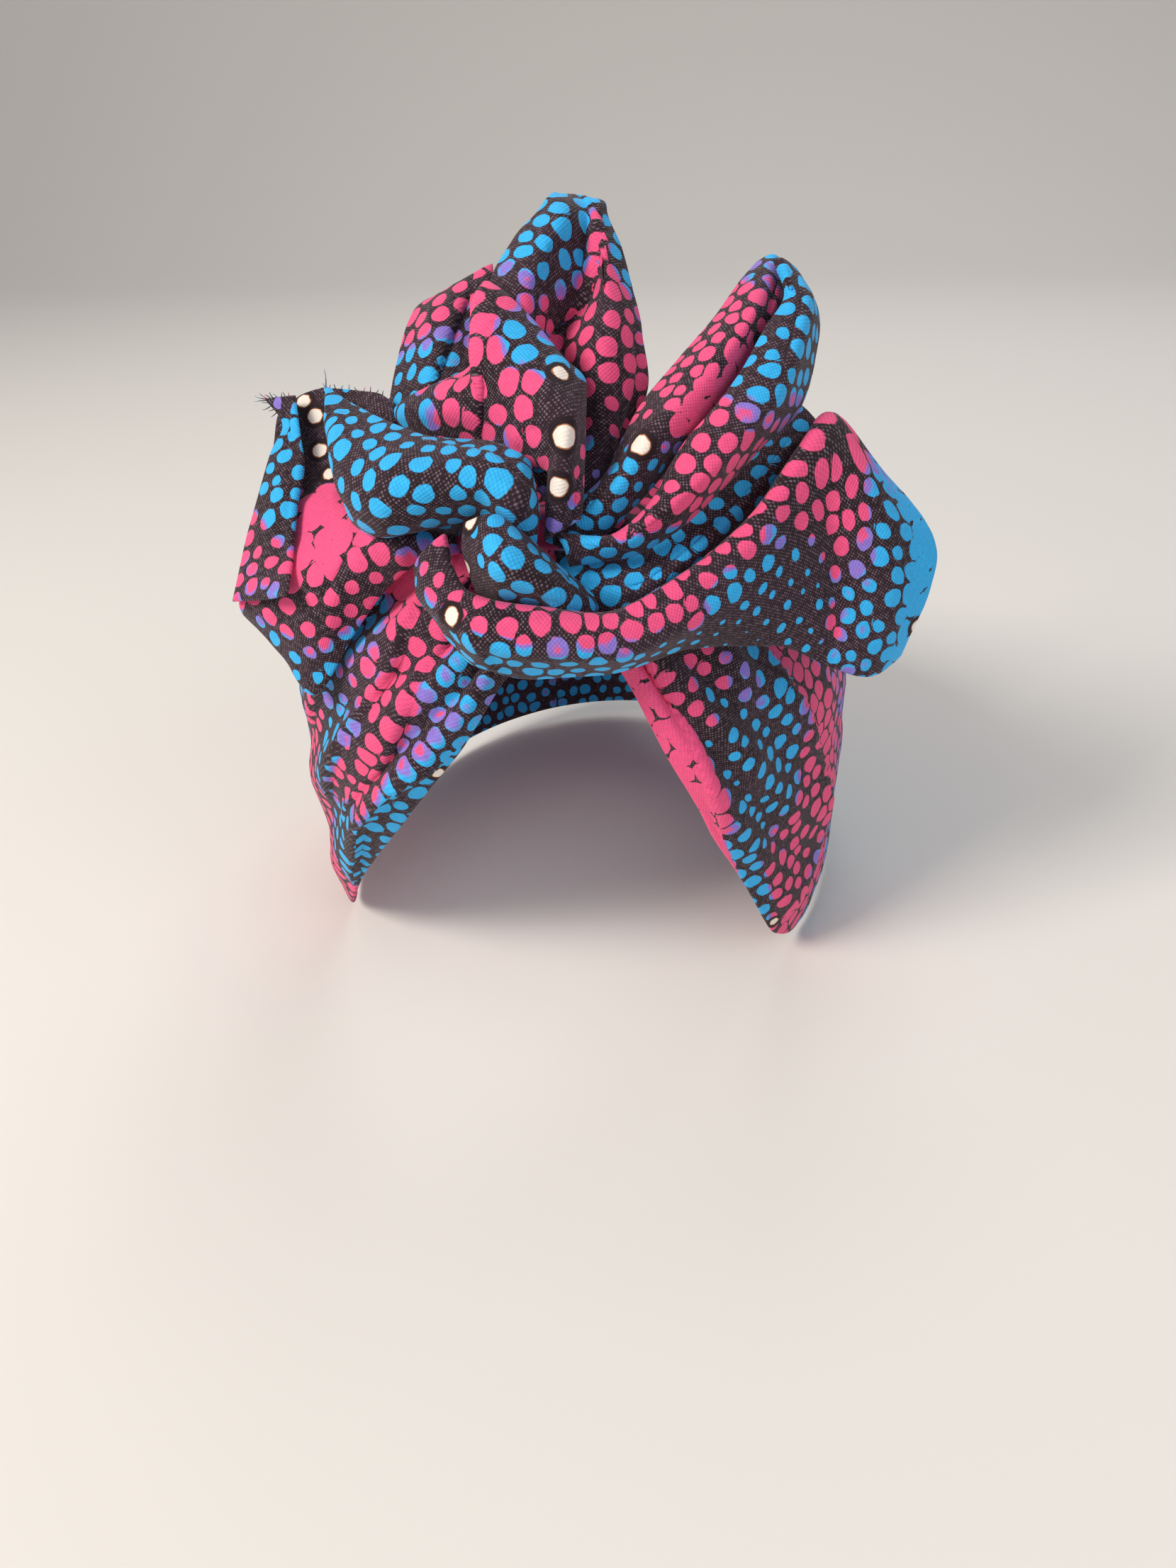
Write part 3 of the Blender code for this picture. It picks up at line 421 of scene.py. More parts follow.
# The creases and overlaps of each piece
LAPS: dict[str, list[Lap]] = {
    "head_band": [
        # The hem's fold
        Lap(
            2.4, 6.0, 0.6,
            (
                (0.395, 0.01), (0.412, 0.045), (0.424, 0.075), (0.437, 0.12), (0.455, 0.125),
                (0.467, 0.105), (0.482, 0.04),
            ),
            apart=60,
        ),
        Lap(2.4, 10.0, 0.9, ((0.400, 0.30), (0.440, 0.42), (0.462, 0.60), (0.480, 0.92))),
        Lap(2.0, 8.0, 0.9, ((0.415, 0.20), (0.452, 0.25), (0.470, 0.40), (0.490, 0.70))),
        Lap(2.2, 10.0, 0.9, ((0.385, 0.52), (0.420, 0.62), (0.440, 0.80), (0.452, 0.97))),
        Lap(
            1.6, 8.0, 0.8,
            ((0.540, 0.72), (0.556, 0.40), (0.575, 0.19), (0.588, 0.09), (0.604, 0.02)),
            1.0, 0.93, 30, 30,
        ),
        # The front layer laps over the one from behind, which shows its own print
        Lap(
            2.6, 9.0, 0.6,
            (
                (0.640, 0.05), (0.653, 0.13), (0.672, 0.22), (0.680, 0.29), (0.678, 0.37),
                (0.671, 0.45), (0.659, 0.54), (0.646, 0.62), (0.632, 0.68), (0.615, 0.78),
            ),
            1.0, 0.70, 16, 500,
        ),
        Lap(0.8, 6.0, 6.0, ((0.600, 0.10), (0.606, 0.40), (0.596, 0.90))),
        Lap(1.0, 8.0, 1.5, ((0.690, 0.10), (0.684, 0.50), (0.672, 0.95))),
    ],
    "left_loop": [
        Lap(
            1.6, 6.0, 2.5,
            ((0.44, 0.36), (0.50, 0.37), (0.58, 0.36), (0.65, 0.31), (0.72, 0.28), (0.86, 0.27)),
        ),
        Lap(-2.4, 8.0, 8.0, ((0.58, 0.62), (0.70, 0.60), (0.88, 0.62))),
        Lap(0.9, 5.0, 5.0, ((0.66, 0.02), (0.68, 0.14), (0.70, 0.26))),
        Lap(0.8, 5.0, 0.6, ((0.24, 0.55), (0.36, 0.62), (0.48, 0.60))),
    ],
    "left_cuff": [
        Lap(0.8, 4.0, 3.0, ((0.10, 0.82), (0.45, 0.78), (0.85, 0.80))),
        Lap(0.7, 3.0, 0.6, ((0.98, 0.30), (0.80, 0.42), (0.66, 0.40))),
    ],
    "back_petal": [
        Lap(
            1.9, 9.0, 0.6,
            ((0.52, 0.40), (0.60, 0.47), (0.70, 0.56), (0.82, 0.64), (0.94, 0.70)),
            apart=60,
        ),
        Lap(0.7, 4.0, 3.0, ((0.55, 0.70), (0.70, 0.78), (0.86, 0.84))),
    ],
    "top_petal": [
        Lap(
            2.0, 9.0, 0.6,
            ((0.20, 0.40), (0.26, 0.47), (0.32, 0.56), (0.37, 0.62), (0.42, 0.67), (0.47, 0.66)),
            apart=60,
        ),
        Lap(0.9, 4.0, 0.5, ((0.08, 0.90), (0.18, 0.92), (0.24, 0.93), (0.30, 0.93))),
        Lap(0.8, 4.0, 0.6, ((0.500, 0.52), (0.470, 0.56), (0.430, 0.60))),
        Lap(0.9, 6.0, 5.0, ((0.20, 0.20), (0.32, 0.26), (0.43, 0.36))),
    ],
    "inner_fold": [
        Lap(1.0, 6.0, 0.6, ((0.95, 0.40), (0.75, 0.38), (0.45, 0.45), (0.25, 0.52), (0.04, 0.50))),
    ],
    "right_petal_front": [
        Lap(0.9, 5.0, 0.6, ((0.93, 0.66), (0.78, 0.74), (0.62, 0.80), (0.46, 0.86))),
        Lap(0.8, 5.0, 4.0, ((0.40, 0.42), (0.60, 0.46), (0.84, 0.44))),
        Lap(0.7, 4.0, 0.6, ((0.04, 0.30), (0.14, 0.36), (0.28, 0.30))),
    ],
    "right_petal_rear": [
        Lap(0.8, 5.0, 0.6, ((0.96, 0.45), (0.84, 0.40), (0.72, 0.46))),
        Lap(0.7, 4.0, 4.0, ((0.26, 0.62), (0.45, 0.58), (0.66, 0.66))),
        Lap(0.7, 3.0, 0.6, ((0.05, 0.45), (0.16, 0.42), (0.28, 0.55))),
    ],
    "crook_fold": [
        Lap(1.9, 9.0, 0.6, ((0.395, 1.00), (0.395, 0.80), (0.390, 0.60), (0.370, 0.44))),
        Lap(0.9, 5.0, 3.0, ((0.02, 0.60), (0.14, 0.62), (0.28, 0.70), (0.38, 0.62))),
        Lap(1.0, 3.5, 3.0, ((0.665, 0.98), (0.655, 0.70), (0.655, 0.30))),
        Lap(0.7, 4.0, 0.6, ((0.56, 0.12), (0.60, 0.28), (0.66, 0.36))),
    ],
    "upper_left_fold": [
        Lap(1.0, 8.0, 0.6, ((0.01, 0.22), (0.10, 0.17), (0.20, 0.12), (0.35, 0.08), (0.52, 0.03))),
        Lap(0.8, 5.0, 5.0, ((0.90, 0.06), (0.87, 0.22), (0.84, 0.42))),
        Lap(0.8, 7.0, 6.0, ((0.04, 0.30), (0.20, 0.24), (0.45, 0.24), (0.66, 0.18))),
        Lap(-0.8, 6.0, 6.0, ((0.10, 0.40), (0.35, 0.36), (0.60, 0.36))),
    ],
    "knot_roll": [
        Lap(0.8, 4.0, 0.6, ((0.98, 0.62), (0.80, 0.66), (0.58, 0.76), (0.36, 0.86))),
        Lap(0.6, 4.0, 0.6, ((0.96, 0.35), (0.78, 0.32), (0.60, 0.26))),
    ],
    "front_sash": [
        Lap(0.9, 6.0, 0.6, ((0.73, 0.465), (0.62, 0.455), (0.50, 0.45), (0.40, 0.46))),
        Lap(-1.2, 4.0, 4.0, ((0.803, 0.01), (0.803, 0.20), (0.800, 0.42))),
        Lap(1.0, 5.0, 5.0, ((0.765, 0.02), (0.765, 0.20), (0.768, 0.40))),
        Lap(0.9, 6.0, 0.6, ((0.225, 0.03), (0.175, 0.22), (0.125, 0.43))),
        Lap(0.7, 5.0, 0.6, ((0.150, 0.02), (0.115, 0.18), (0.090, 0.36))),
        Lap(0.8, 6.0, 5.0, ((0.20, 0.20), (0.36, 0.22), (0.56, 0.20))),
        Lap(0.8, 6.0, 6.0, ((0.90, 0.04), (0.885, 0.22), (0.88, 0.42))),
    ],
}

# Grids of points


def smooth_through(knots: Sequence[float], values: np.ndarray, at: np.ndarray) -> np.ndarray:
    """Curve through values at knots, read at some places, with no overshoot.

    Args:
        knots: where the values stand, rising.
        values: the values, along the first axis.
        at: where the curve is read.

    Returns:
        The curve's values, along the first axis.
    """
    knots = np.asarray(knots, float)
    values = np.asarray(values, float)
    at = np.clip(at, knots[0], knots[-1])
    step = np.diff(knots).reshape((-1,) + (1,) * (values.ndim - 1))
    rise = np.diff(values, axis=0) / step
    slope = np.empty_like(values)
    slope[0] = rise[0]
    slope[-1] = rise[-1]
    same_way = rise[:-1] * rise[1:] > 0
    before = step[:-1] + 2.0 * step[1:]
    after = 2.0 * step[:-1] + step[1:]
    safe_low = np.where(same_way, rise[:-1], 1.0)
    safe_high = np.where(same_way, rise[1:], 1.0)
    mean = (before + after) / (before / safe_high + after / safe_low)
    slope[1:-1] = np.where(same_way, mean, 0.0)
    cell = np.clip(np.searchsorted(knots, at, side="right") - 1, 0, len(knots) - 2)
    width = knots[cell + 1] - knots[cell]
    part = ((at - knots[cell]) / width).reshape((-1,) + (1,) * (values.ndim - 1))
    width = width.reshape(part.shape)
    return (
        values[cell] * (1 + 2 * part) * (1 - part) ** 2
        + slope[cell] * width * part * (1 - part) ** 2
        + values[cell + 1] * part**2 * (3 - 2 * part)
        + slope[cell + 1] * width * part**2 * (part - 1)
    )


def smooth_grid(values: np.ndarray, rows: np.ndarray, columns: np.ndarray) -> np.ndarray:
    """Read a coarse even grid of numbers at finer places.

    Args:
        values: the coarse grid.
        rows: shares from 0 to 1 along its first axis.
        columns: shares from 0 to 1 along its second axis.

    Returns:
        The fine grid.
    """
    knots = np.linspace(0.0, 1.0, values.shape[0])
    lengthways = smooth_through(knots, values, rows)
    knots = np.linspace(0.0, 1.0, values.shape[1])
    return smooth_through(knots, lengthways.T, columns).T


def fine_places(count: int, length: float, close: Sequence[float] = (0.12, 0.4, 0.85)) -> np.ndarray:
    """Shares from 0 to 1, even but closer together at both ends, where the edge is rolled.

    Args:
        count: even steps.
        length: the real length, in mm.
        close: extra places at each end, in mm from it.

    Returns:
        The places in rising order.
    """
    even = np.linspace(0.0, 1.0, count + 1)
    ends = np.array(close) / length
    spare = ends[-1] * 1.6
    inner = even[(even > spare) & (even < 1 - spare)]
    return np.concatenate([[0.0], ends, inner, 1 - ends[::-1], [1.0]])


def between(corners: Sequence[np.ndarray], down: float, side: float) -> np.ndarray:
    """Blend the four corners of a grid's cell, or of all its cells at once.

    Args:
        corners: the values at its upper left, lower left, upper right and lower right.
        down: share of the way down the cell.
        side: share of the way to its right.

    Returns:
        The value there.
    """
    here, below, beside, across = corners
    return (
        here * (1 - down) * (1 - side)
        + below * down * (1 - side)
        + beside * (1 - down) * side
        + across * down * side
    )


def grid_faces(rows: int, columns: int, closed: bool) -> list[tuple[int, ...]]:
    """Quads of a grid of points, which are numbered row by row.

    Args:
        rows: its rows.
        columns: the points in a row.
        closed: whether the last row meets the first.

    Returns:
        The corners of each quad.
    """
    return [
        (
            row * columns + column,
            (row + 1) % rows * columns + column,
            (row + 1) % rows * columns + column + 1,
            row * columns + column + 1,
        )
        for row in range(rows if closed else rows - 1)
        for column in range(columns - 1)
    ]


def travel(grid: np.ndarray, axis: int) -> np.ndarray:
    """Distance travelled over a grid, from its first row or column.

    Args:
        grid: the points, in mm.
        axis: 0 to go down the rows, 1 to go across the columns.

    Returns:
        The distance to each point, in mm.
    """
    steps = np.linalg.norm(np.diff(grid, axis=axis), axis=2)
    start = np.zeros_like(steps[:1] if axis == 0 else steps[:, :1])
    return np.concatenate([start, np.cumsum(steps, axis=axis)], axis=axis)


# The places that the cloth lies in


@dataclass(frozen=True)
class Hollow:
    """The space that the band lies round: an egg, straight below its widest level."""

    half_width: float = 75.0
    half_depth: float = 97.0
    crown: float = 92.0
    foot: float = -70.0

    def point(self, azimuth: float, height: float, clear: float) -> np.ndarray:
        """A point outside the hollow.

        Args:
            azimuth: from the front, in radians, positive to the viewer's right.
            height: above the widest level, in mm.
            clear: distance outside the hollow, in mm.

        Returns:
            The point in the part's frame, in mm.
        """
        ring = math.sqrt(max(1.0 - (height / self.crown) ** 2, 0.0)) if height > 0 else 1.0
        aside, ahead = math.sin(azimuth), math.cos(azimuth)
        radius = ring / math.hypot(aside / self.half_width, ahead / self.half_depth)
        x, y = radius * aside, -radius * ahead
        normal = np.array([
            x / self.half_width**2,
            y / self.half_depth**2,
            height / self.crown**2 if height > 0 else 0.0,
        ])
        normal /= np.linalg.norm(normal)
        return np.array([x, y, height]) + normal * clear

    def shell(self, clear: float, columns: int = 48, low: int = 8, high: int = 14) -> np.ndarray:
        """Open grid over the whole hollow, which keeps the bow out of it.

        Args:
            clear: distance outside the hollow, in mm.
            columns: its columns round the hollow.
            low: its heights up to the widest level.
            high: its heights from there to the crown.

        Returns:
            The grid of points, in mm.
        """
        heights = np.concatenate([
            np.linspace(self.foot, 0.0, low),
            self.crown * np.sin(np.linspace(0.1, math.pi / 2, high)),
        ])
        turns = 2 * math.pi * np.arange(columns) / columns
        return np.array([[self.point(turn, height, clear) for height in heights] for turn in turns])


@dataclass(frozen=True)
class BowFrame:
    """The bow's own directions: right, up and out, from the knot."""

    knot: Spot = (10.0, -76.0, 62.0)
    turn: float = math.radians(16.0)
    tilt: float = math.radians(20.0)

    @property
    def out(self) -> np.ndarray:
        """Direction towards the viewer."""
        return np.array([
            math.sin(self.turn) * math.cos(self.tilt),
            -math.cos(self.turn) * math.cos(self.tilt),
            math.sin(self.tilt),
        ])

    @property
    def right(self) -> np.ndarray:
        """Direction to the viewer's right, level."""
        return np.array([math.cos(self.turn), math.sin(self.turn), 0.0])

    @property
    def up(self) -> np.ndarray:
        """Direction up the bow."""
        return np.cross(self.out, self.right)

    def to_part(self, grid: np.ndarray) -> np.ndarray:
        """Bow frame to the part's frame, in mm."""
        turned = grid[..., :1] * self.right, grid[..., 1:2] * self.up, grid[..., 2:] * self.out
        return np.array(self.knot) + turned[0] + turned[1] + turned[2]

    def to_bow(self, points: np.ndarray) -> np.ndarray:
        """Part's frame to the bow's frame, in mm."""
        away = np.asarray(points, float) - np.array(self.knot)
        return np.stack([away @ self.right, away @ self.up, away @ self.out], axis=-1)


HOLLOW = Hollow()
BOW = BowFrame()


@dataclass
class Pile:
    """The cloth laid so far, seen from the front of the bow.

    Layer is the least distance from one middle surface to the next, in mm, and parts are the
    places inside a cell of a laid grid where its lift is looked up too.
    """

    layer: float = 2.1
    tries: int = 8
    step: float = 0.05
    far_out: float = 200.0
    parts: tuple[float, ...] = (0.0, 0.25, 0.5, 0.75)
    points: list = field(default_factory=list)
    faces: list = field(default_factory=list)
    tree: BVHTree | None = None

    def add(self, grid: np.ndarray, closed: bool = False) -> None:
        """Put a grid of the part's frame on the pile.

        Args:
            grid: points of the middle surface, in mm.
            closed: whether its rows go round.
        """
        start = len(self.points)
        self.points += [Vector(point) for point in grid.reshape(-1, 3)]
        self.faces += [
            tuple(start + corner for corner in face)
            for face in grid_faces(grid.shape[0], grid.shape[1], closed)
        ]
        self.tree = BVHTree.FromPolygons(self.points, self.faces)

    def lift_needed(self, place: np.ndarray) -> float:
        """How far out a point must move to clear the cloth below it.

        Args:
            place: the point, in the bow's frame.

        Returns:
            The lift in mm, 0 if it is clear.
        """
        start = BOW.to_part(np.array([place[0], place[1], self.far_out]))
        hit = self.tree.ray_cast(Vector(start), Vector(-BOW.out))[0]
        height = place[2] if hit is None else max(place[2], BOW.to_bow(np.array(hit))[2])
        for _ in range(self.tries):
            point = BOW.to_part(np.array([place[0], place[1], height]))
            short = self.layer - self.tree.find_nearest(Vector(point))[3]
            if short <= 0:
                break
            height += short + self.step
        return height - place[2]

    def room_under(self, places: np.ndarray) -> float:
        """Least distance from some points of the bow frame to the cloth below them."""
        return min(self.tree.find_nearest(Vector(point))[3] for point in BOW.to_part(places))

    def lifts(self, grid: np.ndarray) -> np.ndarray:
        """Lift needed at each point of a grid, with places inside its cells counted too.

        Args:
            grid: the points, in the bow's frame.

        Returns:
            The lifts, in mm.
        """
        need = np.array([[self.lift_needed(place) for place in row] for row in grid])
        corners = (grid[:-1, :-1], grid[1:, :-1], grid[:-1, 1:], grid[1:, 1:])
        for down in self.parts:
            for side in self.parts:
                inside = between(corners, down, side)
                inner = np.array([[self.lift_needed(place) for place in row] for row in inside])
                for along in (slice(None, -1), slice(1, None)):
                    for across in (slice(None, -1), slice(1, None)):
                        need[along, across] = np.maximum(need[along, across], inner)
        return need


# The cloth


@dataclass(frozen=True)
class Press:
    """Lays a curved sheet flat, so that a round dot stays round and keeps its size.

    The sheet is cut into triangles. In turns, each triangle is turned to fit its place in the
    flat cloth, and the places are moved to fit the turned triangles.
    """

    rounds: int = 80
    least_weight: float = 0.05
    least_square: float = 1e-6

    def triangles(self, points: np.ndarray, corners: np.ndarray) -> tuple[np.ndarray, np.ndarray]:
        """Lay each triangle flat by itself.

        Args:
            points: the sheet's points, in mm.
            corners: the numbers of each triangle's three points.

        Returns:
            Each triangle's edges, as x and y, and how much each edge weighs.
        """
        first = points[corners[:, 1]] - points[corners[:, 0]]
        second = points[corners[:, 2]] - points[corners[:, 0]]
        run = np.linalg.norm(first, axis=1)
        x = (second * first).sum(axis=1) / run
        y = np.sqrt(np.maximum((second**2).sum(axis=1) - x**2, self.least_square))
        zero = np.zeros_like(x)
        shape = np.array([[zero, zero], [run, zero], [x, y]]).transpose(2, 0, 1)
        ahead = shape[:, [1, 2, 0]] - shape
        behind = shape[:, [2, 0, 1]] - shape
        opposite = (ahead * behind).sum(axis=-1) / (run * y)[:, None]
        return ahead, np.maximum(opposite[:, [2, 0, 1]], self.least_weight)

    def flatten(self, points: np.ndarray, flat: np.ndarray) -> np.ndarray:
        """Lay a grid of points flat.

        Args:
            points: the grid, in mm.
            flat: a first guess at its flat places, in mm.

        Returns:
            The flat places, in mm.
        """
        quads = np.array(grid_faces(points.shape[0], points.shape[1], False))
        corners = np.concatenate([quads[:, [0, 1, 2]], quads[:, [0, 2, 3]]])
        ahead, weight = self.triangles(points.reshape(-1, 3), corners)
        shape = flat.shape
        flat = flat.reshape(-1, 2)
        low, high = corners, corners[:, [1, 2, 0]]
        spring = np.zeros((len(flat), len(flat)))
        for one, other in ((low, high), (high, low)):
            np.add.at(spring, (one, one), weight)
            np.add.at(spring, (one, other), -weight)
        spring[0, 0] += 1.0
        press = np.linalg.inv(spring)
        for _ in range(self.rounds):
            edge = flat[high] - flat[low]
            cosine = (weight * (edge * ahead).sum(axis=-1)).sum(axis=1)
            sine = (weight * (ahead[..., 0] * edge[..., 1] - ahead[..., 1] * edge[..., 0])).sum(axis=1)
            turn = np.arctan2(sine, cosine)[:, None]
            turned = np.stack([
                ahead[..., 0] * np.cos(turn) - ahead[..., 1] * np.sin(turn),
                ahead[..., 0] * np.sin(turn) + ahead[..., 1] * np.cos(turn),
            ], axis=-1)
            pull = np.zeros_like(flat)
            np.add.at(pull, high, weight[..., None] * turned)
            np.add.at(pull, low, -weight[..., None] * turned)
            flat = press @ pull
        return flat.reshape(shape)


@dataclass(frozen=True)
class Puckers:
    """Small waves of the cloth, longer along the sheet than across it, about 1 high."""

    seed: float
    length: float = 26.0
    width: float = 9.0
    ring_length: float = 120.0
    ring_width: float = 11.0
    finer: float = 2.3
    lower: float = 0.5
    coarse_place: Spot = (0.0, 3.1, 0.7)
    fine_place: Spot = (7.7, 0.0, 1.9)

    def height(self, far: float, side: float, ring: float) -> float:
        """Height of the waves at a point.

        Args:
            far: its place along the flat cloth, in mm.
            side: its place across the flat cloth, in mm.
            ring: the way round a closed sheet, in mm, or 0.

        Returns:
            The height, in shares of the puckers' depth.
        """
        place = Vector((far / self.length, side / self.width, self.seed))
        if ring:
            turn = 2 * math.pi * far / ring
            place = Vector((
                math.cos(turn) * ring / self.ring_length,
                math.sin(turn) * ring / self.ring_length,
                side / self.ring_width,
            ))
        coarse = Vector(self.coarse_place) + Vector((self.seed, 0.0, 0.0))
        fine = Vector(self.fine_place) + Vector((0.0, self.seed, 0.0))
        return noise.noise(place + coarse) + self.lower * noise.noise(place * self.finer + fine)


@dataclass
class Sheet:
    """A fine sheet of cloth on a grid, with its print and its rolled edges.

    The grid is in the part's frame, in mm, and along and across are its rows' and columns'
    shares of the sheet. Half is half the cloth's thickness, roll is how far from an edge it
    rounds off, and seam is how softly the print of one layer gives way to the next, in mm. A
    lap fades at each end over its fading share. Far from every dye the print is the plain one.
    """

    name: str
    grid: np.ndarray
    along: np.ndarray
    across: np.ndarray
    closed: bool = False
    half: float = 0.75
    roll: float = 1.3
    dyes: Sequence[Dye] = ()
    laps: Sequence[Lap] = ()
    dots: Sequence[Spot] = ()
    pucker: float = 0.35
    seed: float = 0.0
    thin_rows: int = 28
    thin_columns: int = 15
    seam: float = 1.6
    fading: float = 0.2
    blend_power: int = 4
    plain_dye: float = 0.5
    plain_fill: float = 0.4
    plain_weight: float = 1e-6
    whites: list[Spot] = field(default_factory=list)

    def measure(self) -> tuple[np.ndarray, np.ndarray]:
        """Place of each point in the flat cloth.

        Returns:
            Distances along and across in mm, the second from the sheet's middle line.
        """
        middle = self.grid.shape[1] // 2
        along = travel(self.grid[:, middle:middle + 1], 0)
        across = travel(self.grid, 1)
        across -= across[:, middle:middle + 1]
        return np.repeat(along, self.grid.shape[1], axis=1), across

    def normals(self) -> np.ndarray:
        """Unit normals of the middle surface.

        Returns:
            The normal at each point.
        """
        if self.closed:
            lengthways = np.roll(self.grid, -1, axis=0) - np.roll(self.grid, 1, axis=0)
        else:
            lengthways = np.gradient(self.grid, axis=0)
        normals = np.cross(lengthways, np.gradient(self.grid, axis=1))
        return normals / np.maximum(np.linalg.norm(normals, axis=-1, keepdims=True), 1e-9)

    def pressed_flat(self) -> np.ndarray:
        """Lay the sheet flat, by way of a thinned grid.

        Returns:
            Each point's place in the flat cloth, in mm, with one more row if it is closed.
        """
        grid, shares = self.grid, self.along
        along, across = self.measure()
        if self.closed:
            grid = np.concatenate([grid, grid[:1]])
            shares = np.append(shares, 1.0)
            along = np.concatenate([along, along[-1:] + along[1:2]])
            across = np.concatenate([across, across[:1]])
        rows = np.unique(np.linspace(0, len(grid) - 1, self.thin_rows).round().astype(int))
        columns = np.unique(np.linspace(0, grid.shape[1] - 1, self.thin_columns).round().astype(int))
        guess = np.stack([along[rows][:, columns], across[rows][:, columns]], axis=-1)
        flat = Press().flatten(grid[rows][:, columns], guess)
        flat = smooth_through(shares[rows], flat, shares)
        return smooth_through(self.across[columns], flat.swapaxes(0, 1), self.across).swapaxes(0, 1)

    def place_of(self, values: np.ndarray, along: float, across: float) -> float:
        """Value of a field of the grid at a place on the sheet.

        Args:
            values: the field's value at each point.
            along: the place's share of the length.
            across: its share of the width.

        Returns:
            The value.
        """
        row = np.interp(along, self.along, np.arange(len(self.along)))
        column = np.interp(across, self.across, np.arange(len(self.across)))
        low, left = int(row), int(column)
        high, right = min(low + 1, len(self.along) - 1), min(left + 1, len(self.across) - 1)
        corners = (values[low, left], values[high, left], values[low, right], values[high, right])
        return float(between(corners, row - low, column - left))

    def lap_side(self, lap: Lap, flat: np.ndarray) -> tuple[np.ndarray, np.ndarray]:
        """Distance of each point from a lap, more than 0 on its left, and how strong it is.

        Args:
            lap: the crease.
            flat: each point's place in the flat cloth, in mm.

        Returns:
            The distances in mm, and a share that fades to 0 at the lap's ends.
        """
        path = np.array([
            [self.place_of(flat[..., 0], *place), self.place_of(flat[..., 1], *place)]
            for place in lap.path
        ])
        nearest = np.full(flat.shape[:2], np.inf)
        signed = np.zeros(flat.shape[:2])
        travelled = np.zeros(flat.shape[:2])
        length = 0.0
        for start, end in zip(path[:-1], path[1:]):
            run = end - start
            size = max(float(np.linalg.norm(run)), 1e-6)
            share = np.clip(((flat - start) @ run) / size**2, 0.0, 1.0)
            away = flat - (start + share[..., None] * run)
            distance = np.linalg.norm(away, axis=-1)
            side = np.sign(run[0] * away[..., 1] - run[1] * away[..., 0])
            closer = distance < nearest
            nearest = np.where(closer, distance, nearest)
            signed = np.where(closer, side * distance, signed)
            travelled = np.where(closer, length + share * size, travelled)
            length += size
        fade = np.clip(np.minimum(travelled, length - travelled) / (self.fading * length), 0.0, 1.0)
        return signed, fade * (2 - fade)

    def lap_height(self, lap: Lap, flat: np.ndarray) -> np.ndarray:
        """Rise of the cloth at a lap.

        Args:
            lap: the crease.
            flat: each point's place in the flat cloth, in mm.

        Returns:
            The rise at each point, in mm.
        """
        signed, strength = self.lap_side(lap, flat)
        ahead = np.exp(-np.maximum(signed, 0.0) / lap.reach)
        behind = np.exp(-((np.minimum(signed, 0.0) / lap.back) ** 2))
        return lap.rise * np.where(signed >= 0, ahead, behind) * strength

    def shaped(self) -> np.ndarray:
        """The middle surface with its laps and puckers.

        Returns:
            The grid of points, in mm.
        """
        along, across = self.measure()
        flat = np.stack([along, across], axis=-1)
        rise = np.zeros(self.grid.shape[:2])
        for lap in self.laps:
            rise += self.lap_height(lap, flat)
        puckers = Puckers(self.seed)
        ring = float(along[-1, 0]) if self.closed else 0.0
        waves = [puckers.height(*place, ring) for place in flat.reshape(-1, 2)]
        rise += self.pucker * np.array(waves).reshape(rise.shape)
        return self.grid + self.normals() * rise[..., None]

    def fields(self) -> dict[str, np.ndarray]:
        """What the print reads at each point.

        Returns:
            The dye, the fill and the layer, which counts the overlaps that lie to its left.
        """
        along, across = self.measure()
        length = float(along[-1, 0])
        width = float(np.mean(across[:, -1] - across[:, 0]))
        share_along = np.repeat(self.along[:, None], len(self.across), axis=1)
        share_across = np.repeat(self.across[None, :], len(self.along), axis=0)
        weights = np.full(along.shape, self.plain_weight)
        dye, fill = weights * self.plain_dye, weights * self.plain_fill
        for patch in self.dyes:
            away_along = share_along - patch.along
            if self.closed:
                away_along = (away_along + 0.5) % 1.0 - 0.5
            away = (away_along * length) ** 2 + ((share_across - patch.across) * width) ** 2
            weight = 1.0 / (1.0 + away / patch.reach**2) ** self.blend_power
            weights += weight
            dye += weight * patch.dye
            fill += weight * patch.fill
        dye, fill = dye / weights, fill / weights
        flat = np.stack([along, across], axis=-1)
        layer = np.zeros(along.shape)
        for lap in self.laps:
            if lap.width or lap.apart:
                signed, _ = self.lap_side(lap, flat)
                behind = np.clip(0.5 - signed / self.seam, 0.0, 1.0)
                share = behind * (signed > -lap.width)
                dye += share * (lap.dye - dye)
                fill += share * (lap.fill - fill)
                layer += behind * (signed > -lap.apart)
        return {"dye": dye, "fill": fill, "layer": layer}

    def half_thickness(self) -> np.ndarray:
        """Half the cloth's thickness, which rolls down to nothing at the free edges.

        Returns:
            The half thickness at each point, in mm.
        """
        from_low = travel(self.grid, 1)
        from_edge = np.minimum(from_low, from_low[:, -1:] - from_low)
        if not self.closed:
            from_root = travel(self.grid, 0)
            from_edge = np.minimum(from_edge, np.minimum(from_root, from_root[-1:] - from_root))
        bend = np.clip(from_edge / self.roll, 0.0, 1.0)
        return self.half * np.sqrt(1.0 - (1.0 - bend) ** 2)

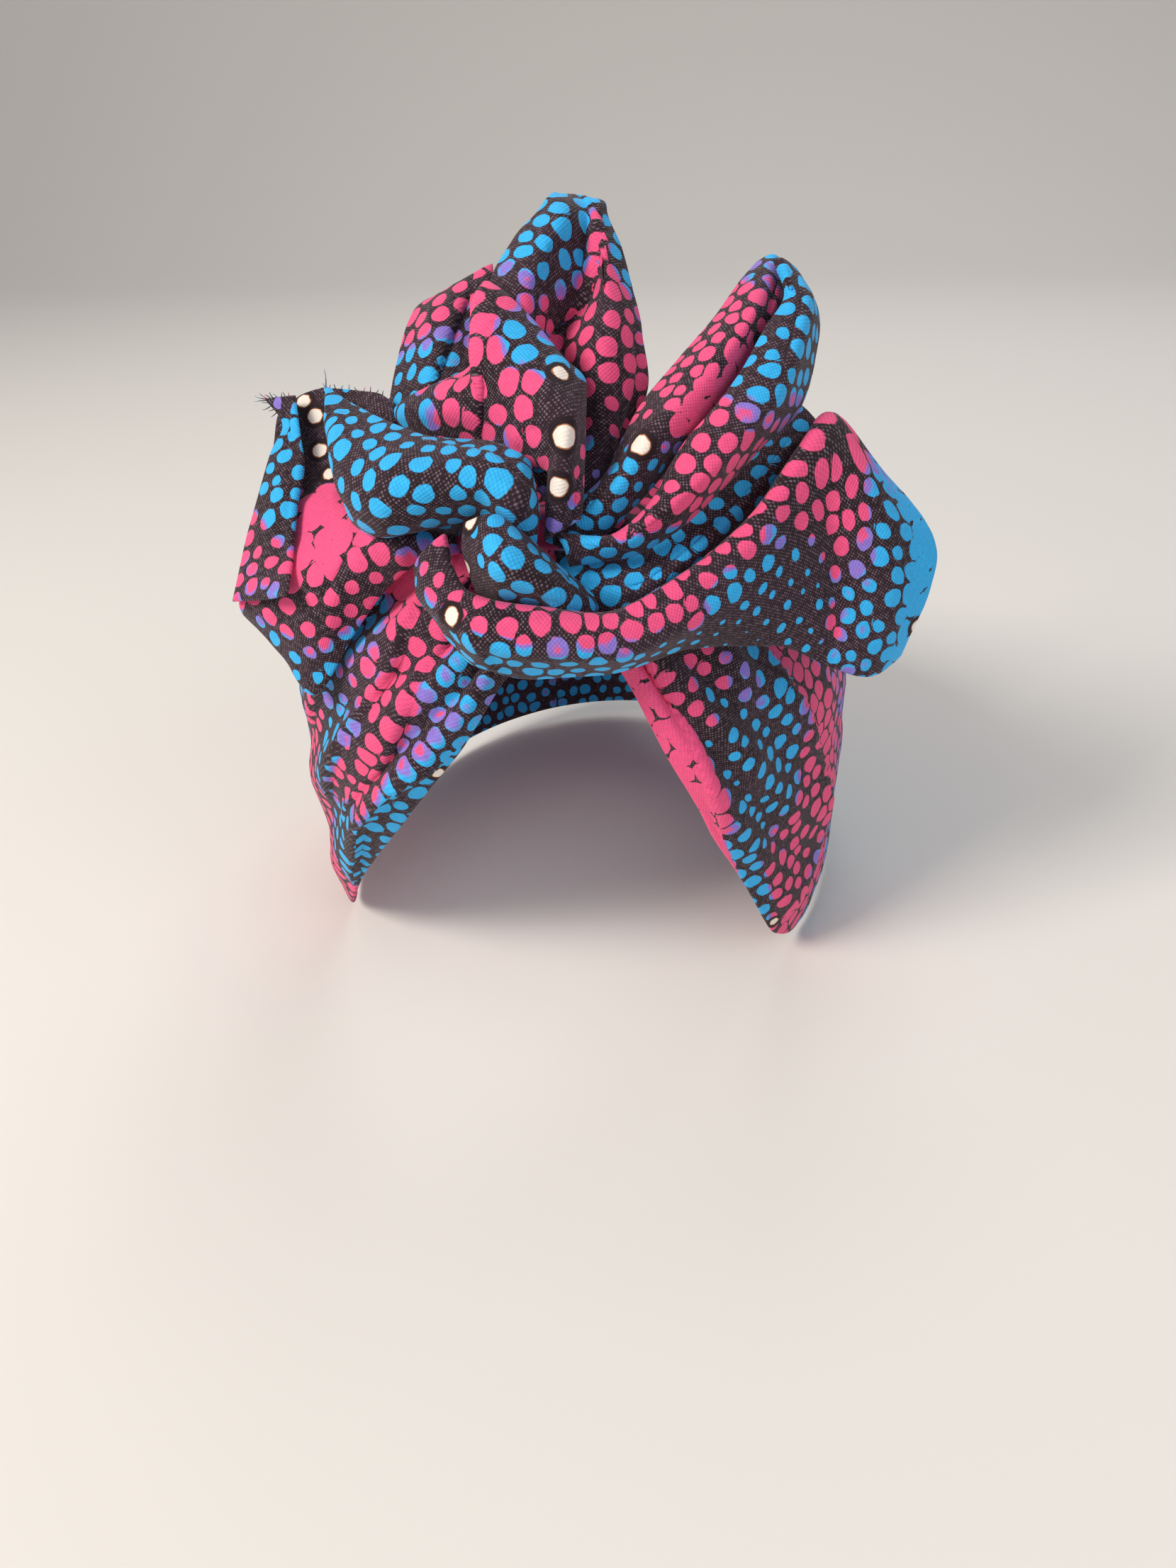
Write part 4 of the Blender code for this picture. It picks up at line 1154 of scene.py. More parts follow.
    def build(self) -> bpy.types.Object:
        """Closed shell of the sheet, with rolled edges, its UV map and its attributes.

        Returns:
            The finished object.
        """
        flat = self.pressed_flat()
        rows, columns = self.grid.shape[:2]
        fields = self.fields()
        self.whites = [
            (*(self.place_of(flat[..., axis], down, side) for axis in (0, 1)), radius)
            for down, side, radius in self.dots
        ]
        self.grid = self.shaped()
        lift = self.normals() * self.half_thickness()[..., None]
        border = np.zeros((rows, columns), bool)
        border[:, [0, -1]] = True
        if not self.closed:
            border[[0, -1]] = True
        front = np.arange(rows * columns).reshape(rows, columns)
        back = np.full((rows, columns), -1)
        back[border] = front[border]
        back[~border] = rows * columns + np.arange((~border).sum())
        points = np.concatenate([(self.grid + lift).reshape(-1, 3), (self.grid - lift)[~border]])
        here = np.arange(rows if self.closed else rows - 1)
        after = (here + 1) % rows
        faces, places = [], []
        for side, order in ((front, (0, 1, 2, 3)), (back, (3, 2, 1, 0))):
            corners = (side[here, :-1], side[after, :-1], side[after, 1:], side[here, 1:])
            spots = (flat[here, :-1], flat[here + 1, :-1], flat[here + 1, 1:], flat[here, 1:])
            faces.append(np.stack([corners[i] for i in order], axis=-1).reshape(-1, 4))
            places.append(np.stack([spots[i] for i in order], axis=-2).reshape(-1, 2))
        mesh = bpy.data.meshes.new(self.name)
        mesh.from_pydata((points * MM).tolist(), [], np.concatenate(faces).tolist())
        uv_map = mesh.uv_layers.new(name="cloth")
        uv_map.data.foreach_set("uv", (np.concatenate(places) * MM).ravel())
        for label, values in fields.items():
            attribute = mesh.attributes.new(label, "FLOAT", "POINT")
            both = np.concatenate([values.reshape(-1), values[~border]])
            attribute.data.foreach_set("value", both.astype(np.float32))
        mesh.shade_smooth()
        mesh.update()
        piece = bpy.data.objects.new(self.name, mesh)
        bpy.context.scene.collection.objects.link(piece)
        return piece

    def flat_size(self) -> tuple[float, float, float]:
        """Size of the flat cloth.

        Returns:
            Its width and length in metres and its area in square metres.
        """
        along, across = self.measure()
        widths = across[:, -1] - across[:, 0]
        length = float(along[-1, 0])
        area = float(((widths[1:] + widths[:-1]) / 2 * np.diff(along[:, 0])).sum())
        if self.closed:
            gap = float(np.linalg.norm(self.grid[0, 0] - self.grid[-1, 0]))
            area += gap * float(widths[0])
            length += gap
        return float(widths.max()) * MM, length * MM, area * MM * MM


@dataclass(frozen=True)
class Fringe:
    """Loose threads that stick out of a sheet's raw edge.

    The thickness and how deep a thread is rooted are in mm. Its tip and its curl are shares of
    its thickness and its length. The seed makes the threads curl the same way each run.
    """

    thickness: float = 0.32
    tip: float = 0.25
    curl: float = 0.35
    root_depth: float = 0.5
    seed: int = 7

    def thread(self, root: np.ndarray, reach: np.ndarray, bend: np.ndarray) -> bpy.types.Object:
        """One tapered thread that curls.

        Args:
            root: where it leaves the cloth, in mm.
            reach: from its root to its tip, in mm.
            bend: how far its middle lies off the straight way, in mm.

        Returns:
            The thread, as a mesh.
        """
        bpy.ops.curve.primitive_bezier_curve_add()
        made = bpy.context.active_object
        made.location = (0.0, 0.0, 0.0)
        made.data.dimensions = "3D"
        made.data.bevel_depth = self.thickness / 2 * MM
        made.data.bevel_resolution = 1
        made.data.resolution_u = 8
        made.data.use_fill_caps = True
        first, last = made.data.splines[0].bezier_points
        for point in (first, last):
            point.handle_left_type = point.handle_right_type = "FREE"
        first.co = Vector((root - reach / np.linalg.norm(reach) * self.root_depth) * MM)
        first.handle_left = first.co
        first.handle_right = Vector((root + reach / 3 + bend) * MM)
        last.co = Vector((root + reach) * MM)
        last.handle_left = Vector((root + reach * 2 / 3 + bend) * MM)
        last.handle_right = last.co
        first.radius = 1.0
        last.radius = self.tip
        bpy.ops.object.convert(target="MESH")
        return bpy.context.active_object

    def build(self, sheet: Sheet, rows: Sequence[tuple[float, ...]]) -> bpy.types.Object:
        """All the threads of one sheet, as one piece.

        Args:
            sheet: the sheet that they leave.
            rows: a table under THREADS.

        Returns:
            The threads.
        """
        noise.seed_set(self.seed)
        threads = []
        for along, across, right, up, out in rows:
            root = np.array([sheet.place_of(sheet.grid[..., axis], along, across) for axis in range(3)])
            reach = right * BOW.right + up * BOW.up + out * BOW.out
            wave = noise.noise_vector(Vector(root))
            threads.append(self.thread(root, reach, np.array(wave) * self.curl * np.linalg.norm(reach)))
        for thread in threads:
            thread.select_set(True)
        bpy.context.view_layer.objects.active = threads[0]
        bpy.ops.object.join()
        piece = bpy.context.active_object
        piece.name = sheet.name.replace("_cloth", "_threads")
        bpy.ops.object.shade_smooth()
        piece.select_set(False)
        return piece


# Finishes

# Settings that many nodes share, and the middle of a noise's values
LEVEL = {"noise_dimensions": "2D"}
SOFT = {"interpolation_type": "SMOOTHSTEP"}
COLOURS = {"data_type": "RGBA"}
ADD = {"operation": "ADD"}
LESS = {"operation": "SUBTRACT"}
TIMES = {"operation": "MULTIPLY"}
PLUS = {"operation": "MULTIPLY_ADD"}
LEAST = {"operation": "MINIMUM"}
MOST = {"operation": "MAXIMUM"}
SINE = {"operation": "SINE"}
ALONG = {"operation": "DOT_PRODUCT"}
APART = {"operation": "DISTANCE"}
MEAN = 0.5


def linear(code: str) -> tuple[float, float, float, float]:
    """Linear colour of an sRGB hex code such as "#2b2226", by the curve of the standard.

    Args:
        code: the hex code.

    Returns:
        Red, green, blue and alpha.
    """
    parts = [int(code[place:place + 2], 16) / 255 for place in (1, 3, 5)]
    turned = [v / 12.92 if v <= 0.04045 else ((v + 0.055) / 1.055) ** 2.4 for v in parts]
    return (*turned, 1.0)


def connect(
    tree: bpy.types.NodeTree,
    made: dict[str, bpy.types.Node],
    node: bpy.types.Node,
    inputs: dict,
) -> None:
    """Fill a node's sockets with values and links.

    Args:
        tree: the node tree.
        made: the nodes so far, by name.
        node: the node.
        inputs: socket to a value, or to a text such as "cell.Distance" for another node's output.
    """
    for socket, value in inputs.items():
        if isinstance(value, str):
            source, _, output = value.partition(".")
            key = int(output) if output.isdigit() else output or 0
            tree.links.new(made[source].outputs[key], node.inputs[socket])
        else:
            node.inputs[socket].default_value = value


def add_node(
    tree: bpy.types.NodeTree,
    made: dict[str, bpy.types.Node],
    name: str,
    kind: str,
    settings: dict,
    inputs: dict,
) -> None:
    """Add a node with its settings, values and links, and keep it under its name.

    Args:
        tree: the node tree.
        made: the nodes so far, by name.
        name: what the new node is called.
        kind: the node's type without "ShaderNode".
        settings: the node's properties.
        inputs: as connect takes them.
    """
    node = tree.nodes.new("ShaderNode" + kind)
    for setting, value in settings.items():
        setattr(node, setting, value)
    connect(tree, made, node, inputs)
    made[name] = node


def ramp(source: str, ends: tuple[float, float], low: float = 0.0, high: float = 1.0) -> dict:
    """Inputs that turn a source's run from one end to the other into a run from low to high.

    Args:
        source: the output that is read.
        ends: where the run starts and where it ends.
        low: the result at its start.
        high: the result at its end.

    Returns:
        The inputs of a range.
    """
    return {0: source, 1: ends[0], 2: ends[1], 3: low, 4: high}


def grain(size: float, detail: float, place: str = "flat") -> dict:
    """Inputs of a noise.

    Args:
        size: about how wide its patches are.
        detail: how much finer noise is on them.
        place: the output that gives the place.

    Returns:
        The inputs.
    """
    return {"Vector": place, "Scale": 1 / size, "Detail": detail}


def node_material(name: str, rows: Sequence[NodeRow], surface: dict) -> bpy.types.Material:
    """Material with a node for each row.

    Args:
        name: what the material is called.
        rows: each node's name, kind, settings and inputs.
        surface: the shader's own inputs, as connect takes them.

    Returns:
        The material.
    """
    material = bpy.data.materials.new(name)
    material.use_nodes = True
    tree = material.node_tree
    made: dict[str, bpy.types.Node] = {}
    for row in rows:
        add_node(tree, made, *row)
    connect(tree, made, tree.nodes["Principled BSDF"], surface)
    return material


# Waxed cotton: a plain weave printed with dye over wax. To the eye it is matt and a little
# dusty at a slant, the threads show as fine light specks that are partly lighter yarn and partly
# painted highlight where they cross, and the dye keeps clean rims
@dataclass(frozen=True)
class WaxPrint:
    """The cloth's finish: loose rows of dots that pack together like pebbles.

    Names that end in mm are in mm. The sizes of a dot (bare, solid, chance and core) are shares
    of the spacing from one dot to the next. A pair is where a change starts and where it ends.
    """

    ground: str = "#26181f"
    worn: str = "#33222c"
    # Colour of the specks where the threads cross: partly lighter yarn, partly painted highlight
    thread: str = "#7f6b79"
    blue: str = "#35b4f4"
    violet: str = "#8e7ad6"
    pink: str = "#f2578a"
    white: str = "#f6ece2"
    rim: str = "#b9784a"
    spacing_mm: float = 6.0
    scatter: float = 0.36
    drift_mm: float = 2.6
    drift_patch_mm: float = 12.0
    sideways: float = 0.37
    other_stretch_mm: Spot = (37.0, 23.0, 0.0)
    bare: float = -0.28
    solid: float = 0.59
    chance: float = 0.13
    core: float = 0.45
    fray_mm: float = 0.4
    lint_mm: float = 1.3
    packed: tuple[float, float] = (0.72, 0.95)
    gap_mm: float = 0.30
    overrun_mm: float = 1.2
    melt_mm: float = 1.0
    edge_mm: tuple[float, float] = (-0.18, 0.08)
    stain: float = 0.55
    stain_patch_mm: float = 4.0
    whim: float = 0.22
    core_tint: float = 0.13
    tints: tuple[float, float] = (-0.06, 1.14)
    to_violet: tuple[float, float] = (0.28, 0.44)
    to_pink: tuple[float, float] = (0.56, 0.70)
    thread_mm: float = 0.9
    slub_mm: float = 1.1
    # Where the specks start and end, and how strong they are: partly lighter yarn, partly painted
    # highlight
    speck: tuple[float, float] = (0.26, 0.56)
    speck_share: float = 0.85
    wear_patch_mm: float = 30.0
    wearing: tuple[float, float] = (0.3, 0.7)
    # Painted highlight and shade of the weave on the dots: where it tops out, and how dark and how
    # bright it goes
    lit_at: float = 0.55
    painted_weave_light: tuple[float, float] = (0.84, 1.18)
    relief: float = 0.5
    relief_mm: float = 0.2
    roughness: float = 0.74
    specular: float = 0.16
    sheen: float = 0.12
    sheen_roughness: float = 0.5

    def place_rows(self, turn: float, shift: float) -> list[NodeRow]:
        """Recipe of the place in the print.

        Args:
            turn: direction of the rows of dots, in degrees.
            shift: moves the print along the cloth, in mm.

        Returns:
            A row for each node.
        """
        drift = (self.drift_mm, self.drift_mm, 0.0)
        return [
            ("cloth", "UVMap", {"uv_map": "cloth"}, {}),
            ("whole", "Mapping", {}, {
                "Vector": "cloth",
                "Location": (shift, self.sideways * shift, 0.0),
                "Rotation": (0.0, 0.0, math.radians(turn)),
                "Scale": (1 / MM, 1 / MM, 1 / MM),
            }),
            # Another layer of the cloth shows another stretch of the print
            ("layer", "Attribute", {"attribute_name": "layer"}, {}),
            ("which", "Math", {"operation": "ROUND"}, {0: "layer.Fac"}),
            ("stretch", "CombineXYZ", {}, {0: "which", 1: "which"}),
            ("flat", "VectorMath", PLUS, {0: "stretch", 1: self.other_stretch_mm, 2: "whole"}),
            # The dots drift off their rows by up to a millimetre
            ("cloud", "TexNoise", LEVEL, grain(self.drift_patch_mm, 1.0)),
            ("drift", "VectorMath", LESS, {0: "cloud.1", 1: (MEAN, MEAN, MEAN)}),
            ("place", "VectorMath", PLUS, {0: "drift", 1: drift, 2: "flat"}),
        ]

    def cell_rows(self) -> list[NodeRow]:
        """Recipe of the two nearest dots and how far away they are.

        Returns:
            A row for each node.
        """
        pitch = self.spacing_mm
        slant = pitch * math.sqrt(3) / 2
        rows: list[NodeRow] = [
            # The rows are staggered, so the cells are looked up in a slanted plane
            ("right", "VectorMath", ALONG, {0: "place", 1: (1 / pitch, -0.5 / slant, 0.0)}),
            ("ahead", "VectorMath", ALONG, {0: "place", 1: (0.0, 1 / slant, 0.0)}),
            ("slanted", "CombineXYZ", {}, {0: "right.Value", 1: "ahead.Value"}),
        ]
        for dot, feature in (("dot", "F1"), ("next", "F2")):
            cells = {"Vector": "slanted", "Scale": 1.0, "Randomness": self.scatter}
            rows += [
                (dot, "TexVoronoi", {"voronoi_dimensions": "2D", "feature": feature}, cells),
                (dot + "x", "VectorMath", ALONG, {0: dot + ".Position", 1: (pitch, pitch / 2, 0.0)}),
                (dot + "y", "VectorMath", ALONG, {0: dot + ".Position", 1: (0.0, slant, 0.0)}),
                (dot + "at", "CombineXYZ", {}, {0: dot + "x.Value", 1: dot + "y.Value"}),
                (dot + "far", "VectorMath", APART, {0: "place", 1: dot + "at"}),
            ]
        return rows + [
            ("chance", "SeparateColor", {}, {0: "dot.Color"}),
            ("away", "Math", LEAST, {0: "dotfar.Value", 1: "nextfar.Value"}),
            ("beyond", "Math", MOST, {0: "dotfar.Value", 1: "nextfar.Value"}),
        ]

    def dot_rows(self) -> list[NodeRow]:
        """Recipe of where the dots are printed.

        Returns:
            A row for each node.
        """
        pitch = self.spacing_mm
        sizes = self.bare * pitch, self.solid * pitch
        return [
            # Each dot's size follows the fill, and its rim is a little ragged
            ("fill", "Attribute", {"attribute_name": "fill"}, {}),
            ("sized", "MapRange", {}, ramp("fill.Fac", (-1.0, 1.0), *sizes)),
            ("luck", "Math", LESS, {0: "chance.0", 1: MEAN}),
            ("varied", "Math", PLUS, {0: "luck", 1: self.chance * pitch, 2: "sized"}),
            ("lint", "TexNoise", LEVEL, grain(self.lint_mm, 1.0)),
            ("fray", "Math", LESS, {0: "lint.0", 1: MEAN}),
            ("size", "Math", PLUS, {0: "fray", 1: self.fray_mm, 2: "varied"}),
            ("inside", "Math", LESS, {0: "size", 1: "away"}),
            # Packed dots are parted by a thin dark gap, until they run together
            ("gap", "MapRange", SOFT, ramp("fill.Fac", self.packed, self.gap_mm, -self.overrun_mm)),
            ("spare", "Math", LESS, {0: "beyond", 1: "away"}),
            ("rim", "Math", TIMES, {0: "gap", 1: -1.0}),
            ("parted", "Math", PLUS, {0: "spare", 1: 0.5, 2: "rim"}),
            ("body", "Math", {"operation": "SMOOTH_MIN"}, {0: "inside", 1: "parted", 2: self.melt_mm}),
            ("printed", "MapRange", SOFT, ramp("body", self.edge_mm)),
        ]

    def dye_rows(self) -> list[NodeRow]:
        """Recipe of the dots' colour.

        Returns:
            A row for each node.
        """
        core = 0.0, self.core * self.spacing_mm
        return [
            # Blue runs over into pink inside the dots, through violet
            ("dye", "Attribute", {"attribute_name": "dye"}, {}),
            ("runs", "TexNoise", LEVEL, grain(self.stain_patch_mm, 2.0)),
            ("run", "Math", LESS, {0: "runs.0", 1: MEAN}),
            ("dyed", "MapRange", {}, ramp("dye.Fac", (0.0, 1.0), *self.tints)),
            ("stained", "Math", PLUS, {0: "run", 1: self.stain, 2: "dyed"}),
            ("whim", "Math", LESS, {0: "chance.1", 1: MEAN}),
            ("tinted", "Math", PLUS, {0: "whim", 1: self.whim, 2: "stained"}),
            ("core", "MapRange", {}, ramp("away", core, self.core_tint, -self.core_tint)),
            ("tint", "Math", ADD, {0: "core", 1: "tinted"}),
            ("cool", "MapRange", SOFT, ramp("tint", self.to_violet)),
            ("warm", "MapRange", SOFT, ramp("tint", self.to_pink)),
            ("lilac", "Mix", COLOURS, {0: "cool", 6: linear(self.blue), 7: linear(self.violet)}),
            ("dots", "Mix", COLOURS, {0: "warm", 6: "lilac.2", 7: linear(self.pink)}),
        ]

    def weave_rows(self) -> list[NodeRow]:
        """Recipe of the weave, and of the dots over it, with painted highlight and shade where the
        threads cross.

        Warp goes over weft. It is drawn at twice its real pitch of 0.45 mm so that it shows.

        Returns:
            A row for each node.
        """
        turns = 2 * math.pi / self.thread_mm
        relief = {"Strength": self.relief, "Distance": self.relief_mm * MM}
        return [
            ("up", "VectorMath", ALONG, {0: "flat", 1: (turns, 0.0, 0.0)}),
            ("over", "VectorMath", ALONG, {0: "flat", 1: (0.0, turns, 0.0)}),
            ("warp", "Math", SINE, {0: "up.Value"}),
            ("weft", "Math", SINE, {0: "over.Value"}),
            ("crossed", "Math", TIMES, {0: "warp", 1: "weft"}),
            ("weave", "Math", PLUS, {0: "crossed", 1: 0.5, 2: 0.5}),
            ("slubs", "TexNoise", LEVEL, grain(self.slub_mm, 2.0)),
            ("thready", "Math", TIMES, {0: "weave", 1: "slubs.0"}),
            # Specks where the threads cross: partly lighter yarn, partly painted highlight on the
            # ground
            ("specks", "MapRange", SOFT, ramp("thready", self.speck, 0.0, self.speck_share)),
            ("wearing", "TexNoise", LEVEL, grain(self.wear_patch_mm, 2.0)),
            ("wear", "MapRange", SOFT, ramp("wearing.0", self.wearing)),
            ("base", "Mix", COLOURS, {0: "wear", 6: linear(self.ground), 7: linear(self.worn)}),
            ("ground", "Mix", COLOURS, {0: "specks", 6: "base.2", 7: linear(self.thread)}),
            # Painted highlight and shade: the dots are brighter where the threads cross and darker
            # between them
            ("lit", "MapRange", {}, ramp("thready", (0.0, self.lit_at), *self.painted_weave_light)),
            ("glossed", "VectorMath", {"operation": "SCALE"}, {0: "dots.2", "Scale": "lit"}),
            ("colour", "Mix", COLOURS, {0: "printed", 6: "ground.2", 7: "glossed"}),
            ("bump", "Bump", {}, {"Height": "weave", **relief}),
        ]

    def white_rows(self, whites: Sequence[Spot]) -> list[NodeRow]:
        """Recipe of the white dots, each in a dark ring with a thin rust rim.

        Args:
            whites: place in the flat cloth and radius of each, in mm.

        Returns:
            A row for each node. The last one of each dot holds the colour.
        """
        # Each ring's colour, and from where to where it gives way, in mm past the dot's radius
        rings = (
            ("dark", self.ground, 1.2, 1.7),
            ("rust", self.rim, 0.05, 0.3),
            ("white", self.white, -0.15, 0.05),
        )
        rows: list[NodeRow] = []
        under = "colour.2"
        for number, (right, up, radius) in enumerate(whites):
            near, exact = f"near{number}", f"exact{number}"
            rows += [
                (exact, "VectorMath", APART, {0: "cloth", 1: (right * MM, up * MM, 0.0)}),
                (near + "mm", "Math", TIMES, {0: exact + ".Value", 1: 1 / MM}),
                (near, "Math", PLUS, {0: "fray", 1: 0.5, 2: near + "mm"}),
            ]
            for ring, colour, inner, outer in rings:
                share, mixed = f"{ring}_share{number}", f"{ring}{number}"
                ends = radius + inner, radius + outer
                rows += [
                    (share, "MapRange", SOFT, ramp(near, ends, 1.0, 0.0)),
                    (mixed, "Mix", COLOURS, {0: share, 6: under, 7: linear(colour)}),
                ]
                under = mixed + ".2"
        return rows

    def material(
        self, name: str, turn: float, shift: float, whites: Sequence[Spot]
    ) -> bpy.types.Material:
        """Node material of the cloth.

        Args:
            name: what the material is called.
            turn: direction of the rows of dots, in degrees.
            shift: moves the print along the cloth, in mm.
            whites: place in the flat cloth and radius of each white dot, in mm.

        Returns:
            The material.
        """
        rows = [
            *self.place_rows(turn, shift),
            *self.cell_rows(),
            *self.dot_rows(),
            *self.dye_rows(),
            *self.weave_rows(),
            *self.white_rows(whites),
        ]
        last = [row[0] for row in rows if row[1] == "Mix"][-1]
        return node_material(name, rows, {
            "Base Color": last + ".2",
            "Normal": "bump.0",
            "Roughness": self.roughness,
            "Specular IOR Level": self.specular,
            "Sheen Weight": self.sheen,
            "Sheen Roughness": self.sheen_roughness,
        })


# Cotton thread: spun fibre that took the dye in patches. To the eye it is matt, dark with
# blue and pink stretches, and paler where its fibres stand off
@dataclass(frozen=True)
class DyedThread:
    """The finish of the loose threads. A pair is where a colour starts and where it is full."""

    ground: str = "#2e2329"
    blue: str = "#2a8fc4"
    pink: str = "#b8507c"
    patch_mm: float = 2.2
    twist_mm: float = 0.35
    blue_from: tuple[float, float] = (0.52, 0.60)
    pink_to: tuple[float, float] = (0.38, 0.46)
    relief: float = 0.6
    relief_mm: float = 0.1
    roughness: float = 0.85

    def material(self) -> bpy.types.Material:
        """Node material of the threads.

        Returns:
            The material.
        """
        relief = {"Strength": self.relief, "Distance": self.relief_mm * MM}
        rows: list[NodeRow] = [
            ("place", "TexCoord", {}, {}),
            ("patches", "TexNoise", {}, grain(self.patch_mm * MM, 1.0, "place.Object")),
            ("blues", "MapRange", SOFT, ramp("patches.0", self.blue_from)),
            ("pinks", "MapRange", SOFT, ramp("patches.0", self.pink_to, 1.0, 0.0)),
            ("fibres", "TexNoise", {}, grain(self.twist_mm * MM, 2.0, "place.Object")),
            ("first", "Mix", COLOURS, {0: "blues", 6: linear(self.ground), 7: linear(self.blue)}),
            ("second", "Mix", COLOURS, {0: "pinks", 6: "first.2", 7: linear(self.pink)}),
            ("bump", "Bump", {}, {"Height": "fibres.0", **relief}),
        ]
        surface = {"Base Color": "second.2", "Normal": "bump.0", "Roughness": self.roughness}
        return node_material("spun_cotton_thread", rows, surface)


# The pieces


@dataclass
class Cloth:
    """A piece of the wrap: a sheet with its print, and its loose threads if it has any.

    Turn is the direction of its rows of dots, in degrees, and spacing is from one dot to the
    next, in mm. Part of is the CAD node it stands for, where that isn't its own name. Shift is
    how far along the cloth the print starts, in mm for each 1 of the sheet's seed.
    """

    name: str
    _: KW_ONLY
    turn: float = 0.0
    spacing: float = 6.0
    shift: float = 31.0
    held: Held = Held.FOLDED
    part_of: str = ""

    @property
    def node(self) -> str:
        """The CAD node that the piece stands for."""
        return self.part_of or self.name

    def cut(self, grid: np.ndarray, along: np.ndarray, across: np.ndarray, **settings: float) -> Sheet:
        """Cut the piece's sheet, with the laps, the dyes and the white dots of its tables.

        Args:
            grid: the middle surface in the part's frame, in mm.
            along: its rows' shares of the length.
            across: its columns' shares of the width.
            settings: other fields of the sheet.

        Returns:
            The sheet, not yet built.
        """
        return Sheet(
            self.name + "_cloth",
            grid,
            along,
            across,
            dyes=[Dye(*row) for row in PRINT[self.name]],
            laps=LAPS.get(self.name, ()),
            dots=WHITE_DOTS.get(self.name, ()),
            **settings,
        )

    def dress(self, piece: bpy.types.Object, sheet: Sheet, rests_on: list[str]) -> None:
        """Give the piece its print, its threads and its body.

        Args:
            piece: the finished object.
            sheet: the sheet it was made from.
            rests_on: the names of what it rests on; not used.
        """
        printed = WaxPrint(spacing_mm=self.spacing)
        shift = sheet.seed * self.shift
        piece.data.materials.append(
            printed.material(self.name + "_waxed_cotton", self.turn, shift, sheet.whites)
        )
        threads = []
        if self.name in THREADS:
            threads.append(Fringe().build(sheet, THREADS[self.name]))
            threads[0].data.materials.append(DyedThread().material())
        for made in (piece, *threads):
            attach(made, "root")
            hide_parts(self.node)
            LOG.info("%s: %d faces, for %s", made.name, len(made.data.polygons), self.node)
        width, length, area = sheet.flat_size()
        LOG.info("%s: flat %.0f by %.0f mm", piece.name, width / MM, length / MM)


@dataclass
class Band(Cloth):
    """The ring round the head: pleats from the knot, a hem and a folded inner edge.

    Clear is the gap to the hollow, cloth the wall of the solid it stands for, and width about
    its real width, in mm. The pleats fade towards the back by the pleat power, and the bulge
    rises from the edges by the bulge power.
    """

    columns: int = 440
    rows: int = 72
    coarse_columns: int = 60
    coarse_rows: int = 11
    width: float = 115.0
    pleats: int = 4
    pleat_depth: float = 3.0
    pleat_power: int = 5
    bulge_power: float = 0.6
    clear: float = 0.4
    cloth: float = 1.6

    def grid(self, columns: int, across: np.ndarray) -> np.ndarray:
        """Middle surface: columns round the head from the back, rows up from the lower edge.

        Args:
            columns: how many columns.
            across: the rows' shares of the width.

        Returns:
            The grid of points, in mm.
        """
        table = np.array(BAND_EDGES, float)
        degrees = np.linspace(-180.0, 180.0, columns + 1)[:-1]
        edges = smooth_through(table[:, 0], table[:, 1:], degrees)
        made = np.empty((columns, len(across), 3))
        for column, degree in enumerate(degrees):
            lower, upper, bulge = edges[column]
            azimuth = math.radians(degree)
            pleating = math.cos(azimuth / 2) ** self.pleat_power
            for row, share in enumerate(across):
                height = lower + (upper - lower) * share
                ridge = 0.5 - 0.5 * math.cos(2 * math.pi * self.pleats * share)
                inner = 0 < share < 1
                swell = bulge * math.sin(math.pi * share) ** self.bulge_power if inner else 0.0
                clear = self.clear + self.cloth / 2 + swell + self.pleat_depth * pleating * ridge
                made[column, row] = HOLLOW.point(azimuth, height, clear)
        return made

    def lay(self, pile: Pile) -> None:
        """Put the band on the pile, round the hollow."""
        across = np.linspace(0.0, 1.0, self.coarse_rows)
        pile.add(self.grid(self.coarse_columns, across), closed=True)

    def build(self, rests_on: list[str]) -> bpy.types.Object:
        """Build the band and dress it.

        Args:
            rests_on: the names of what it rests on.

        Returns:
            The finished band.
        """
        across = fine_places(self.rows, self.width)
        along = np.linspace(0.0, 1.0, self.columns + 1)[:-1]
        sheet = self.cut(
            self.grid(self.columns, across),
            along,
            across,
            closed=True,
            half=0.8,
            roll=1.5,
            pucker=0.5,
            seed=4.2,
            thin_rows=64,
            thin_columns=25,
        )
        piece = sheet.build()
        self.dress(piece, sheet, rests_on)
        return piece


